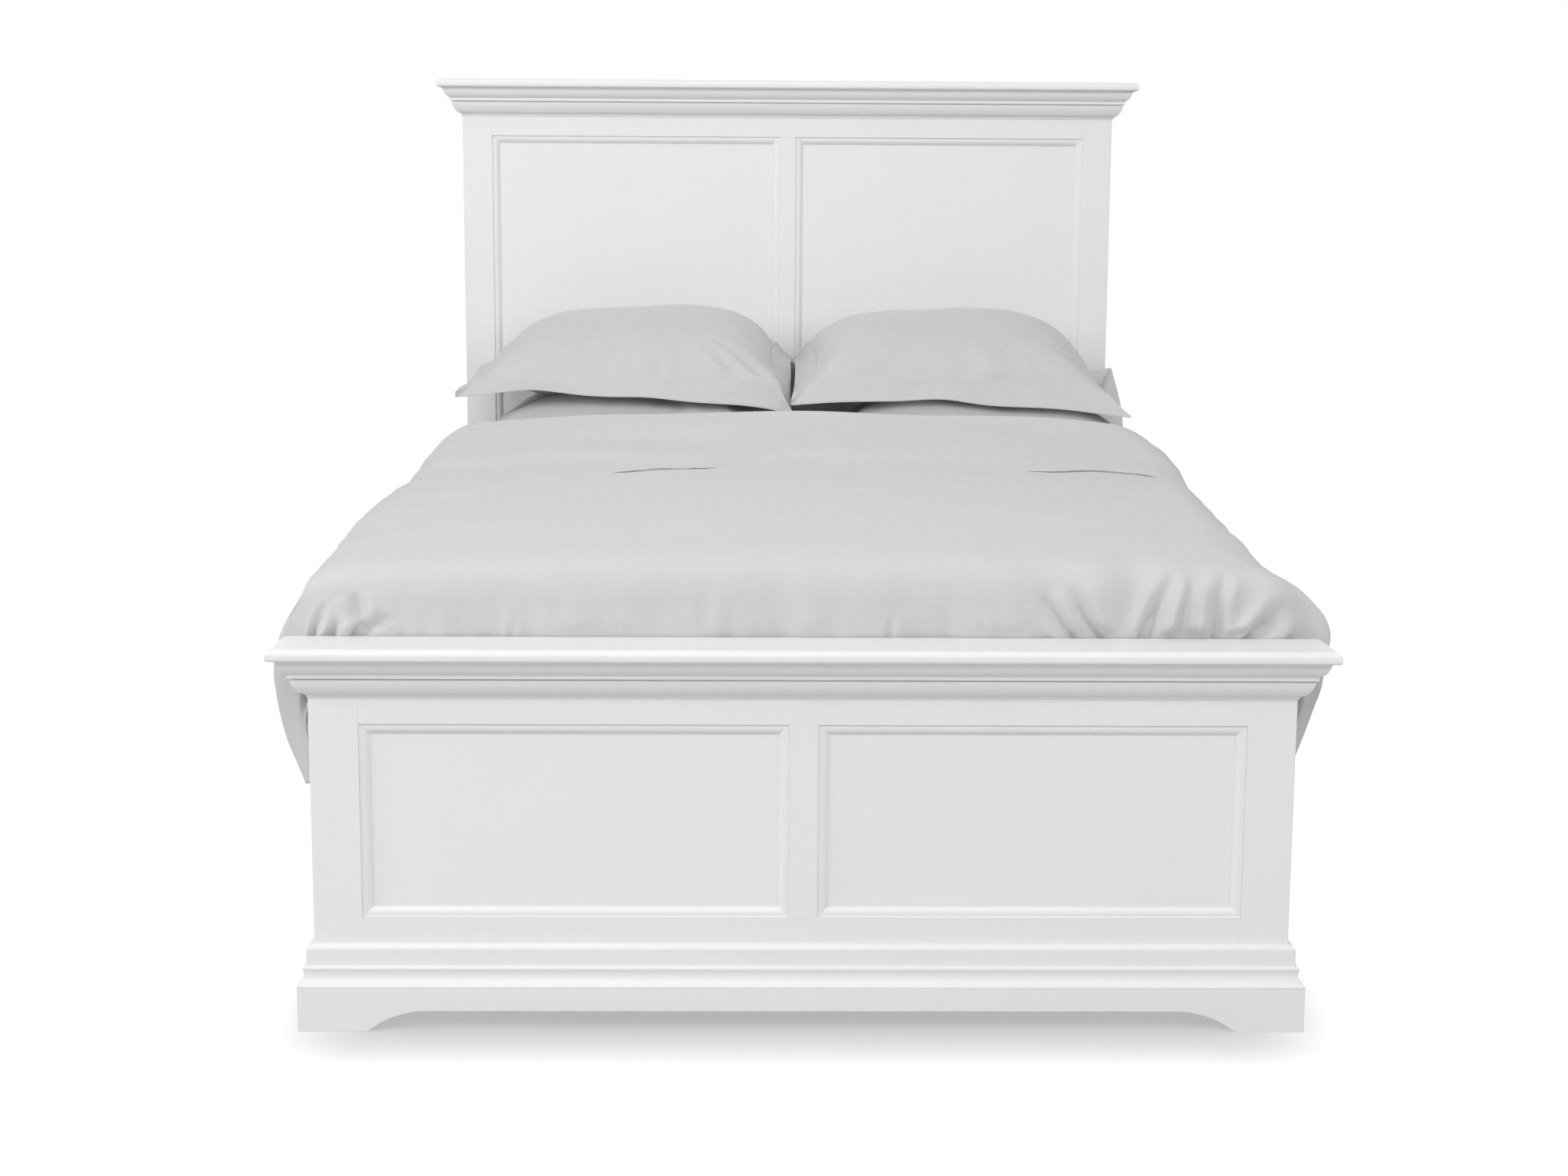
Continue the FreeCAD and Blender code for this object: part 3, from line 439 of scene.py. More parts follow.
duvet_percale = woven_cloth("grey_percale_duvet", "#CDCDCF", "#C8C8CB")
pillow_percale = woven_cloth("grey_percale_pillow", "#C8C9C9", "#C2C4C4")
sheet_percale = woven_cloth("pale_percale_sheet", "#DCDCDC", "#D6D6D6")
mattress_ticking = woven_cloth("mattress_ticking", "#E6E6E3", "#D9D9D5", thread_mm=2.4, weave_depth=0.6)
box_cover_cloth = woven_cloth("box_spring_cover", "#DAD8D2", "#CFCDC6", thread_mm=3.0, weave_depth=0.6)
edge_tape = woven_cloth("edge_tape", "#C6C6C4", "#BBBBB8", thread_mm=1.2, weave_depth=0.8)
dust_cover = woven_cloth("spunbond_dust_cover", "#3A3A3C", "#303032", thread_mm=1.8, nap=0.0)

# %% [markdown]
# Every soft piece below is a grid of points that is bent into shape, because cloth is flat before
# it is sewn. A grid keeps its flat coordinates, so the weave follows the cloth round every fold.
# These helpers turn a grid into a mesh and smooth curves through a few chosen places.

# %% Helpers for grids


def grid_quads(rows, columns, closed=False):
    """The quads between neighbouring points of a grid; closed joins its last column to its first."""
    across = columns if closed else columns - 1
    down, along = np.meshgrid(np.arange(rows - 1), np.arange(across), indexing="ij")
    beside = (along + 1) % columns
    quads = np.stack([down * columns + along, down * columns + beside,
                      (down + 1) * columns + beside, (down + 1) * columns + along], axis=-1)
    return quads.reshape(-1, 4)


def make_piece(name, points_mm, quads, material, flat_mm):
    """A smooth-shaded mesh object; flat_mm are each point's coordinates on the flat cloth."""
    mesh = bpy.data.meshes.new(name)
    mesh.from_pydata((np.asarray(points_mm) * MM).tolist(), [], np.asarray(quads).tolist())
    mesh.materials.append(material)
    corners = np.zeros(len(mesh.loops), np.int32)
    mesh.loops.foreach_get("vertex_index", corners)
    layer = mesh.uv_layers.new(name="flat_cloth")
    layer.data.foreach_set("uv", (np.asarray(flat_mm)[corners] * MM).astype(np.float32).ravel())
    mesh.shade_smooth()
    return new_object(name, mesh)


def ring_piece(name, rings, flats, material, tube=False, turned=True):
    """A piece swept through rings of points; a tube joins its last ring to its first.

    Its faces are turned round unless the rings are stacked upwards.
    """
    count = len(rings[0])
    quads = grid_quads(len(rings) + int(tube), count, closed=True) % (len(rings) * count)
    return make_piece(name, np.concatenate(rings), quads[:, ::-1] if turned else quads, material,
                      np.concatenate(flats))


def box_mm(node):
    """The lowest and the highest corner of a solid's box, in millimetres."""
    return [np.array(corner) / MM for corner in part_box(node)]


def path_lengths(points):
    """How far along a path each of its points lies."""
    return np.concatenate([[0], np.cumsum(np.linalg.norm(np.diff(points, axis=0), axis=1))])


def smooth_through(places, values, wanted):
    """Values at the wanted places on a smooth curve that doesn't overshoot its given values."""
    places = np.asarray(places, float)
    values = np.asarray(values, float)
    steps = np.diff(places)
    slopes = np.diff(values) / steps
    tangents = np.zeros_like(values)
    for index in range(1, len(values) - 1):
        before, after = slopes[index - 1], slopes[index]
        if before * after > 0:
            tangents[index] = 2 * before * after / (before + after)
    tangents[0], tangents[-1] = slopes[0], slopes[-1]
    spans = np.clip(np.searchsorted(places, wanted, side="right") - 1, 0, len(steps) - 1)
    step = steps[spans]
    share = np.clip((wanted - places[spans]) / step, 0, 1)
    square, cube = share ** 2, share ** 3
    return ((2 * cube - 3 * square + 1) * values[spans] + (cube - 2 * square + share) * step * tangents[spans]
            + (3 * square - 2 * cube) * values[spans + 1] + (cube - square) * step * tangents[spans + 1])


def between(value, start, end):
    """0 before start, 1 after end, and a smooth rise between."""
    share = np.clip((value - start) / (end - start), 0, 1)
    return share * share * (3 - 2 * share)


def window(value, start, end, soft):
    """1 between start and end, fading to 0 over a soft distance outside them."""
    return between(value, start - soft, start) * (1 - between(value, end, end + soft))


# %% [markdown]
# The box spring and the mattress are blocks of springs and wadding in a sewn cover. Both are closed
# with a cord-edged tape round the top and bottom, and their panels swell a little between the tapes.
# One function sweeps a side profile round a rounded rectangle and closes it over the top and bottom
# with shrinking rings, which keeps the corners round all the way up.

# %% Mattress and box spring
block_step_mm = 26.0
block_rings = 24
block_corner_mm = 60.0
corner_points = 10
cord_radius_mm = 4.0
cord_points = 10
profile_corner_points = 5
profile_side_points = 14
# How far a cord lies from the top or bottom of its block
box_cord_mm = 9.0
mattress_cord_mm = 14.0


def rounded_loop(half_x, y0, y1, corner, step):
    """Points round a rectangle with rounded corners, seen from above and counter-clockwise."""
    points = []
    left, right, near, far = corner - half_x, half_x - corner, y0 + corner, y1 - corner
    quarters = ((right, near, -90), (right, far, 0), (left, far, 90), (left, near, 180))
    for centre_x, centre_y, start in quarters:
        for turn in np.linspace(start, start + 90, corner_points):
            points.append((centre_x + corner * math.cos(math.radians(turn)),
                           centre_y + corner * math.sin(math.radians(turn))))
    closed = np.array(points + points[:1])
    lengths = path_lengths(closed)
    places = np.linspace(0, lengths[-1], int(lengths[-1] / step), endpoint=False)
    loop = np.stack([np.interp(places, lengths, closed[:, axis]) for axis in (0, 1)], axis=1)
    return loop, places


def loop_outward(loop):
    """Unit directions out of a loop, at each of its points."""
    tangent = np.roll(loop, -1, axis=0) - np.roll(loop, 1, axis=0)
    tangent /= np.linalg.norm(tangent, axis=1, keepdims=True)
    return np.column_stack([tangent[:, 1], -tangent[:, 0]])


def level(ring, value):
    """A ring with one more coordinate, which is the same all round."""
    return np.column_stack([ring, np.full(len(ring), value)])


def swept_block(name, node, profile, material, under_material=None):
    """A block in a node's box: profile lists inset and height from the bottom to the top."""
    low, high = box_mm(node)
    loop, places = rounded_loop(high[0], low[1], high[1], block_corner_mm, block_step_mm)
    middle = loop.mean(axis=0)
    centre_y = (low[1] + high[1]) / 2
    half = np.array([high[0], (high[1] - low[1]) / 2])
    rings = [level((loop - middle) * shrink + middle, low[2] + profile[0][1])
             for shrink in np.linspace(0, 1, block_rings)[:-1]]
    flats = [ring[:, :2] for ring in rings]
    for inset, height in profile:
        scale = (half - inset) / half
        ring = np.column_stack([loop[:, 0] * scale[0], centre_y + (loop[:, 1] - centre_y) * scale[1]])
        rings.append(level(ring, low[2] + height))
        flats.append(level(places, low[2] + height))
    for shrink in np.linspace(1, 0, block_rings)[1:]:
        rings.append(level((ring - middle) * shrink + middle, low[2] + profile[-1][1]))
        flats.append(rings[-1][:, :2])
    piece = ring_piece(name, rings, flats, material, turned=False)
    if under_material:
        piece.data.materials.append(under_material)
        for face in piece.data.polygons[:(block_rings - 2) * len(loop)]:
            face.material_index = 1
    return piece


def edge_cord(name, node, height):
    """A corded tape round a block at one height."""
    low, high = box_mm(node)
    loop, places = rounded_loop(high[0] - cord_radius_mm, low[1] + cord_radius_mm, high[1] - cord_radius_mm,
                                block_corner_mm - cord_radius_mm, block_step_mm / 2)
    outward = loop_outward(loop)
    rings = []
    flats = []
    for turn in range(cord_points):
        angle = 2 * math.pi * turn / cord_points
        rings.append(level(loop + outward * cord_radius_mm * math.cos(angle),
                           height + cord_radius_mm * math.sin(angle)))
        flats.append(level(places, cord_radius_mm * angle))
    return ring_piece(name, rings, flats, edge_tape, tube=True)


def bulged_profile(node, edge, swell, cord_inset):
    """Inset and height of a padded side: rounded edges, a nip at each tape and a swelling between."""
    low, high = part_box(node)
    height = (high.z - low.z) / MM
    turns = np.radians(np.linspace(0, 90, profile_corner_points))
    corner = [(edge * (1 - math.sin(turn)) + cord_inset, edge * (1 - math.cos(turn))) for turn in turns]
    side = [(cord_inset - swell * math.sin(math.pi * share), edge + (height - 2 * edge) * share)
            for share in np.linspace(0, 1, profile_side_points)[1:-1]]
    return corner + side + [(inset, height - rise) for inset, rise in reversed(corner)]


box_spring = swept_block("box_spring_cover", "box_spring",
                         bulged_profile("box_spring", edge=8.0, swell=3.0, cord_inset=4.0),
                         box_cover_cloth, dust_cover)
mattress = swept_block("mattress_cover", "mattress",
                       bulged_profile("mattress", edge=26.0, swell=2.0, cord_inset=3.0), mattress_ticking)
for piece, node, slot_name in ((box_spring, "box_spring", "box_cover"),
                               (mattress, "mattress", "mattress_cover")):
    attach(piece, node)
    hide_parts(node)

spring_low, spring_high = (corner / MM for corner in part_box("box_spring"))
mattress_low, mattress_high = (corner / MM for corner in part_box("mattress"))
for name, node, height, slot_name in (
        ("box_spring_top_cord", "box_spring", spring_high.z - box_cord_mm, "box_cover"),
        ("box_spring_bottom_cord", "box_spring", spring_low.z + box_cord_mm, "box_cover"),
        ("mattress_bottom_cord", "mattress", mattress_low.z + mattress_cord_mm, "mattress_cover")):
    cord = edge_cord(name, node, height)
    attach(cord, node)
print("mattress, mm:", [round(v) for v in mattress_high - mattress_low])

# %% [markdown]
# The fitted sheet is one rectangle of percale with its corners cut out and sewn, and elastic in the
# hem, so it lies tight over the mattress and gathers a little at each corner. It follows the same
# rounded loop as the mattress, so the sheet is swept the same way, only thinner and open below.

# %% Fitted sheet
sheet_step_mm = 9.0
sheet_top_rings = 60
sheet_edge_rings = 9
sheet_skirt_rings = 26
sheet_thickness_mm = 0.5
sheet_skirt_mm = 200.0
sheet_edge_radius_mm = 27.0
gather_step_mm = 14.0
gather_wave_mm = 2.2
gather_reach_mm = 150.0
gather_start = 0.35
gather_least_mm = -0.2
first_turn_deg = 10
first_skirt_share = 0.03
sheet_low, sheet_high = (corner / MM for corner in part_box("fitted_sheet"))


def fitted_sheet():
    """The sheet as rings from the middle of the bed out over the edge and down to the hem."""
    half = np.array([sheet_high.x, (sheet_high.y - sheet_low.y) / 2])
    loop, places = rounded_loop(sheet_high.x, sheet_low.y, sheet_high.y, block_corner_mm + 1, sheet_step_mm)
    middle = loop.mean(axis=0)
    from_corner = [np.abs(loop[:, 0]) - half[0], np.abs(loop[:, 1] - middle[1]) - half[1]]
    beside_corner = np.exp(-(from_corner[0] ** 2 + from_corner[1] ** 2) / gather_reach_mm ** 2)
    rings = []
    flats = []
    for shrink in np.linspace(0.0, 1.0, sheet_top_rings):
        ring = (loop - middle) * shrink * (1 - sheet_edge_radius_mm / half[0]) + middle
        rings.append(level(ring, sheet_high.z))
        flats.append(ring)
    for turn in np.linspace(first_turn_deg, 90, sheet_edge_rings):
        angle = math.radians(turn)
        inset = sheet_edge_radius_mm * (1 - math.sin(angle))
        drop = sheet_edge_radius_mm * (1 - math.cos(angle))
        rings.append(level((loop - middle) * (1 - inset / half) + middle, sheet_high.z - drop))
        flats.append(level(places, -drop))
    outward = loop_outward(loop)
    wave = np.sin(places * 2 * math.pi / gather_step_mm) * beside_corner
    for share in np.linspace(first_skirt_share, 1.0, sheet_skirt_rings):
        drop = sheet_edge_radius_mm + share * (sheet_skirt_mm - sheet_edge_radius_mm)
        puff = np.clip(gather_wave_mm * wave * max(0.0, share - gather_start), gather_least_mm, None)
        rings.append(level(loop + outward * puff[:, None], sheet_high.z - drop))
        flats.append(level(places, -drop))
    return ring_piece("fitted_sheet_cloth", rings, flats, sheet_percale)


def thicken(piece, thickness_mm):
    """Gives a single layer of cloth its thickness on its inner side, as real mesh."""
    layer = piece.modifiers.new("cloth_thickness", "SOLIDIFY")
    layer.thickness = thickness_mm * MM
    layer.offset = -1
    bpy.context.view_layer.update()
    shown = piece.evaluated_get(bpy.context.evaluated_depsgraph_get())
    mesh = bpy.data.meshes.new_from_object(shown)
    piece.modifiers.clear()
    piece.data = mesh


sheet = fitted_sheet()
thicken(sheet, sheet_thickness_mm)
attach(sheet, "mattress")
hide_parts("fitted_sheet")
print("sheet points:", len(sheet.data.vertices))

# %% [markdown]
# The duvet decides how the bed looks. It hangs over both sides, is tucked down behind the footboard,
# where the cap holds it and makes it gather, and its head end is turned back in a thick soft flap.
# One grid makes its upper face: each row is a section across the bed, and the rows run up the roll
# behind the footboard, along the bed, over the flap's free edge and round the fold at the pillows.

# %% Duvet: sections along the bed
duvet_column_mm = 5.0
duvet_half_width_mm = 1260.0
# Share of the way out from the shoulder to the side, then share of the way down to the hem
side_falls = np.array([(0.0, 0.0), (0.24, 0.07), (0.42, 0.145), (0.72, 0.28), (0.84, 0.37), (0.91, 0.48),
                       (0.88, 0.56), (0.80, 0.68), (0.68, 0.79), (0.50, 0.90), (0.33, 1.0)])
right_foot_falls = np.array([(0.0, 0.0), (0.30, 0.08), (0.58, 0.145), (0.84, 0.235), (0.90, 0.30),
                             (0.83, 0.41), (0.79, 0.52), (0.67, 0.62), (0.46, 0.78), (0.27, 0.90),
                             (0.10, 1.0)])
# How much further out the shoulder lies: place along the bed, left side, right side
shoulder_reach = np.array([(-988, 5, -3), (-950, 4, -10), (-904, 7, -28), (-831, 16, -27), (-670, 24, -9),
                           (-517, 30, -2), (-346, 38, 15), (-139, 40, 32), (79, 37, 41), (146, 20, 41),
                           (194, 8, 40), (284, 3, 38), (372, 12, 26), (408, 18, 18), (435, 20, 24)])
crown_flatness = 3.0
crown_points = 60
crown_points_skipped = 4
# Between which places the right foot corner and the gathered foot end pass into the rest of the
# duvet, and the top into the hanging sides and their lean
foot_corner_y = (-900, -650)
foot_end_rows = (300, 420)
hanging_x = (770, 850)
leaning_x = (640, 800)
# Y, height of the crest, height and half width of the shoulder, half width of the side, hem height
duvet_sections = np.array([
    (-984.0, 520.0, 500.0, 776.0, 815.0, 420.0),
    (-987.0, 600.0, 590.0, 780.0, 828.0, 405.0),
    (-989.0, 640.0, 634.0, 785.0, 840.0, 395.0),
    (-992.0, 680.0, 672.0, 789.0, 852.0, 391.0),
    (-992.5, 706.0, 697.0, 792.0, 862.0, 389.0),
    (-990.0, 726.0, 714.0, 794.0, 870.0, 388.0),
    (-984.0, 743.0, 729.0, 795.0, 877.0, 387.0),
    (-973.0, 757.0, 740.0, 795.0, 882.0, 386.0),
    (-953.0, 769.0, 749.0, 794.0, 884.0, 386.0),
    (-918.0, 780.0, 754.0, 792.0, 883.0, 386.0),
    (-865.0, 788.0, 757.0, 789.0, 879.0, 386.0),
    (-765.0, 797.0, 760.0, 787.0, 874.0, 388.0),
    (-575.0, 803.0, 763.0, 789.0, 878.0, 386.0),
    (-250.0, 806.0, 769.0, 793.0, 870.0, 390.0),
    (50.0, 804.0, 775.0, 796.0, 876.0, 387.0),
    (150.0, 805.0, 779.0, 797.0, 878.0, 388.0),
    (230.0, 827.0, 798.0, 794.0, 878.0, 390.0),
    (310.0, 851.0, 824.0, 786.0, 876.0, 390.0),
    (385.0, 877.0, 850.0, 768.0, 872.0, 391.0),
    (412.0, 888.5, 862.0, 755.0, 868.0, 392.0),
    (425.0, 894.0, 868.0, 747.0, 864.0, 393.0),
    (433.5, 889.0, 862.0, 744.0, 860.0, 396.0),
    (435.0, 858.0, 836.0, 744.0, 852.0, 400.0),
    (433.0, 820.0, 800.0, 748.0, 842.0, 405.0),
    (424.0, 780.0, 765.0, 754.0, 830.0, 412.0)])
along_sections = path_lengths(duvet_sections[:, :2])
# Places up the duvet's length: the foot of the tucks, the flap's free edge, the start of the fold
tuck_base, flap_place, fold_start, fold_end = along_sections[[2, 15, 17, 18]]
flap_section_y = duvet_sections[15, 0]

# The rows are closest where the cloth gathers or folds: start, end and spacing of each stretch
stretches = [(0, 330, 4.0), (330, flap_place - 110, 9.0), (flap_place - 110, flap_place + 80, 2.5),
             (flap_place + 80, fold_end, 7.0), (fold_end, along_sections[-1], 4.5)]
duvet_rows = np.concatenate([np.arange(*stretch) for stretch in stretches] + [along_sections[-1:]])

# The roll and the fold turn back over themselves, but the hanging sides must not: their own places
# along the bed, for some places up the duvet's length
side_rows = np.array([0.0, 260.0, 420.0, fold_start, along_sections[-1]])
side_y = np.array([-992.0, -962.0, -840.0, 310.0, 440.0])
side_leans = np.interp(duvet_sections[:, 0], [-988, -860, -300, 200, 430], [0, 4, 0, 4, 16])


def half_section(parts, falls, columns):
    """Half a section from the middle to the hem: places across, heights, and flat lengths."""
    crest, shoulder_z, shoulder_x, side_x, hem_z = parts
    half = [(share * shoulder_x, crest - (crest - shoulder_z) * share ** crown_flatness)
            for share in np.linspace(0, 1, crown_points)[:-crown_points_skipped]]
    for out, down in falls[1:]:
        half.append((shoulder_x + out * (side_x - shoulder_x), shoulder_z - down * (shoulder_z - hem_z)))
    half = np.array(half)
    length = path_lengths(half)
    wanted = np.linspace(0, length[-1], columns)
    return smooth_through(length, half[:, 0], wanted), smooth_through(length, half[:, 1], wanted), wanted


def duvet_top():
    """Points of the upper face, rows by columns, with the flat coordinates of each."""
    held = [smooth_through(along_sections, duvet_sections[:, part], duvet_rows) for part in range(6)]
    half_columns = int(duvet_half_width_mm / duvet_column_mm)
    points = np.zeros((len(duvet_rows), 2 * half_columns - 1, 3))
    flats = np.zeros((len(duvet_rows), 2 * half_columns - 1, 2))
    for index, row in enumerate(duvet_rows):
        y, *parts = (part[index] for part in held)
        at_foot = 1 - between(y, *foot_corner_y)
        right_falls = side_falls + at_foot * (right_foot_falls - side_falls)
        left_parts, right_parts = list(parts), list(parts)
        left_parts[2] += np.interp(y, shoulder_reach[:, 0], shoulder_reach[:, 1])
        right_parts[2] += np.interp(y, shoulder_reach[:, 0], shoulder_reach[:, 2])
        left_x, left_z, left_flat = half_section(left_parts, side_falls, half_columns)
        right_x, right_z, right_flat = half_section(right_parts, right_falls, half_columns)
        across = np.concatenate([-left_x[:0:-1], right_x])
        near_end = 1 - between(row, *foot_end_rows) + between(row, fold_start, fold_end)
        down_the_side = between(np.abs(across), *hanging_x) * near_end
        points[index, :, 0] = across
        points[index, :, 1] = y + (np.interp(row, side_rows, side_y) - y) * down_the_side
        points[index, :, 2] = np.concatenate([left_z[:0:-1], right_z])
        flats[index, :, 0] = np.concatenate([-left_flat[:0:-1], right_flat])
        flats[index, :, 1] = row
    leans = smooth_through(along_sections, side_leans, duvet_rows)
    points[..., 0] += leans[:, None] * between(np.abs(points[..., 0]), *leaning_x)
    return points, flats


duvet_points, duvet_flats = duvet_top()
print("duvet grid:", duvet_points.shape[:2])

# %% [markdown]
# Loose cloth is never smooth. Calm waves run across the bed where the filling has settled, and the
# hanging sides fall in a few wide folds that deepen towards the hem. The waves come from a lattice of
# random heights joined by smooth cubic curves, wider across the bed than along it.

# %% Duvet: waves and hanging folds
lattice_points = 128
wave_height_share = 1.6
# Between which places across the cloth its flat top ends, and the hanging folds grow
top_end_x = (740, 860)
hanging_folds_x = (780, 1180)
# Sizes of the waves along the two coordinates that they are given, and their height
wide_waves_mm = (230.0, 64.0, 4.2)
narrow_waves_mm = (110.0, 42.0, 1.4)
hanging_folds_mm = (120.0, 300.0, 10.0)
fold_slant = 0.4
# The waves begin past the roll, and the folds stay shallow beside the footboard's posts
past_roll_rows = (300, 480)
past_posts_y = (-930, -600)
beside_post_share = 0.1


def cubic_weights(share):
    """Weights of the four lattice heights round a place, which make a smooth curve."""
    return ((1 - share) ** 3 / 6, (3 * share ** 3 - 6 * share ** 2 + 4) / 6,
            (-3 * share ** 3 + 3 * share ** 2 + 3 * share + 1) / 6, share ** 3 / 6)


def settled_waves(x, y, cell_x, cell_y, seed):
    """Smooth random heights of about -1 to 1 over cells of a chosen size."""
    lattice = np.random.default_rng(seed).normal(0, 1, (lattice_points, lattice_points))
    middle = lattice_points // 2
    place_x, place_y = np.asarray(x) / cell_x + middle, np.asarray(y) / cell_y + middle
    first_x, first_y = np.floor(place_x).astype(int), np.floor(place_y).astype(int)
    total = np.zeros(np.shape(x))
    for step_x, weight_x in enumerate(cubic_weights(place_x - first_x)):
        column = (first_x + step_x - 1) % lattice_points
        for step_y, weight_y in enumerate(cubic_weights(place_y - first_y)):
            total += weight_x * weight_y * lattice[column, (first_y + step_y - 1) % lattice_points]
    return total * wave_height_share


def grid_normals(points):
    """Outward unit normals of a grid of points."""
    normals = np.cross(np.gradient(points, axis=1), np.gradient(points, axis=0))
    return normals / np.maximum(np.linalg.norm(normals, axis=2, keepdims=True), 1e-9)


def waves_of(x, y, sizes, seed):
    """Waves of given sizes along the coordinates x and y, and of a given height."""
    across, along, height = sizes
    return settled_waves(x, y, across, along, seed) * height


flat_x, flat_y = duvet_flats[..., 0], duvet_flats[..., 1]
hang = between(np.abs(flat_x), *hanging_folds_x)
on_top = 1 - between(np.abs(flat_x), *top_end_x)
past_roll = between(flat_y, *past_roll_rows)
past_posts = beside_post_share + (1 - beside_post_share) * between(duvet_points[..., 1], *past_posts_y)
waves = waves_of(flat_x, flat_y, wide_waves_mm, 11) * on_top * past_roll
waves += waves_of(flat_x, flat_y, narrow_waves_mm, 12) * past_roll
waves += waves_of(flat_y, flat_x * fold_slant, hanging_folds_mm, 13) * hang * past_posts
duvet_points += grid_normals(duvet_points) * waves[..., None]
print("waves, mm:", round(float(waves.min()), 1), "to", round(float(waves.max()), 1))

# %% [markdown]
# The flap's free edge is a soft step across the whole duvet. Where it is creased, on two stretches,
# the edge stands up and leans back over the lower layer; elsewhere only a low ridge shows it. The
# under face follows the step but not the lean. Moving the points along their normals carries it down
# both sides as well.

# %% Duvet: the turned-back flap
flap_hem_mm = 1.2
creased_hem_mm = 5.0
flap_lean_mm = 11.0
edge_wander_mm = 3.0
edge_wander_length_mm = 95.0
# Where the free edge crosses the bed: place across, place along
flap_edge_y = np.array([(-900, -20), (-361, 60), (-180, 145), (-17, 165), (99, 155), (319, 145), (531, 140),
                        (653, 172), (730, 172), (900, 60)])
creased_stretches = ((-350, -190), (520, 760))
crease_fade_mm = 50
# Distances past the free edge: where its rise and its lean are full, and where they fade
edge_rise_mm = 8
edge_fade_mm = (20, 130)
lean_start_mm = 3
lean_fade_mm = (6, 24)


def flap_edge(x):
    """Where the free edge lies along the duvet, which is never quite straight."""
    y = smooth_through(flap_edge_y[:, 0], flap_edge_y[:, 1], np.clip(x, -900, 900))
    return flap_place + y - flap_section_y + edge_wander_mm * np.sin(x / edge_wander_length_mm)


past_edge = flat_y - flap_edge(flat_x)
creased = sum(window(flat_x, start, end, crease_fade_mm) for start, end in creased_stretches)
lift = (flap_hem_mm + (creased_hem_mm - flap_hem_mm) * creased) * between(past_edge, 0, edge_rise_mm)
lift *= 1 - between(past_edge, *edge_fade_mm)
lean = flap_lean_mm * creased * between(past_edge, 0, lean_start_mm)
lean *= (1 - between(past_edge, *lean_fade_mm)) * on_top
duvet_points += grid_normals(duvet_points) * lift[..., None]
calm_points = duvet_points.copy()
duvet_points[..., 1] -= lean
print("flap's edge stands up, mm:", round(float(lift.max()), 1))

# %% [markdown]
# Under the cap of the footboard the cloth bunches into tucks. Each tuck is a short crooked line down
# the roll, deep where it is pinched and gone a hand's breadth higher, with the cloth swelling on both
# sides. They are drawn as lines of places across the bed and heights on the roll. Soft bunches and a
# fine crumple lie between them, mostly near the two posts.

# %% Duvet: tucks behind the footboard
tuck_depth_share = 2.7
tuck_width_mm = 9.0
tuck_runs_on_mm = 40
tuck_fade_power = 0.65
tuck_swell_share = 0.75
bunch_cells_mm = (46.0, 60.0)
bunch_height_mm = 9.0
crumple_cell_mm = 20.0
crumple_height_mm = 2.0
# Between which heights on the roll each of them fades, and where across the bed it bunches
tuck_fade_mm = (110, 220)
bunch_fade_mm = (60, 230)
crumple_fade_mm = (20, 130)
bunched_left_x = (-800, -620)
bunched_right_x = (150, 450)
least_bunched = 0.35
tucks_end_x = (850, 910)
below_cap_top_z = (641, 668)
# Depth, then places across the bed and up the roll, all in millimetres
tucks = [
    (3.0, (-822, 0), (-822, 20)), (3.5, (-817, 0), (-816, 45)), (5.0, (-812, 18), (-800, 45), (-785, 75)),
    (5.0, (-772, 0), (-770, 14), (-759, 36)), (8.0, (-733, 0), (-726, 27), (-736, 80)),
    (8.0, (-723, 0), (-712, 9), (-679, 42)), (6.0, (444, 0), (423, 28), (393, 72)),
    (8.0, (485, 0), (465, 28), (438, 85)), (3.0, (501, 0), (503, 16)),
    (8.0, (564, 0), (585, 65), (612, 120)), (3.0, (622, 50), (637, 112)),
    (7.0, (675, 0), (678, 70), (694, 122)), (4.0, (712, 0), (713, 28)), (9.0, (733, 0), (772, 45), (794, 86)),
    (1.5, (300, 0), (290, 50)), (1.2, (140, 0), (150, 44)), (1.2, (-300, 0), (-310, 46)),
    (1.2, (-480, 0), (-470, 45))]


def distance_to_line(x, rise, line):
    """Distance of each place from a crooked line, and how far along the line the nearest point is."""
    nearest = np.full(x.shape, 1e9)
    share_along = np.zeros(x.shape)
    lengths = [math.dist(a, b) for a, b in zip(line, line[1:])]
    done = 0.0
    for (x0, r0), (x1, r1), length in zip(line, line[1:], lengths):
        share = np.clip(((x - x0) * (x1 - x0) + (rise - r0) * (r1 - r0)) / length ** 2, 0, 1)
        distance = np.hypot(x - x0 - share * (x1 - x0), rise - r0 - share * (r1 - r0))
        closer = distance < nearest
        nearest = np.where(closer, distance, nearest)
        share_along = np.where(closer, (done + share * length) / sum(lengths), share_along)
        done += length
    return nearest, share_along


def tuck_depths(x, rise):
    """How far the tucks pull the cloth in, and how far it swells beside them."""
    moved = np.zeros(x.shape)
    for drawn_depth, *line in tucks:
        depth = drawn_depth * tuck_depth_share
        below = (line[0][0] + (line[0][0] - line[1][0]) * 0.4, line[0][1] - tuck_runs_on_mm)
        distance, share_along = distance_to_line(x, rise, [below] + line)
        width = tuck_width_mm * (0.45 + 0.03 * depth)
        groove = -depth * np.exp(-(distance / width) ** 1.4)
        swell = tuck_swell_share * depth * np.exp(-((distance - 2.4 * width) / (1.2 * width)) ** 2)
        moved += (groove + swell) * (1 - share_along) ** tuck_fade_power
    return moved


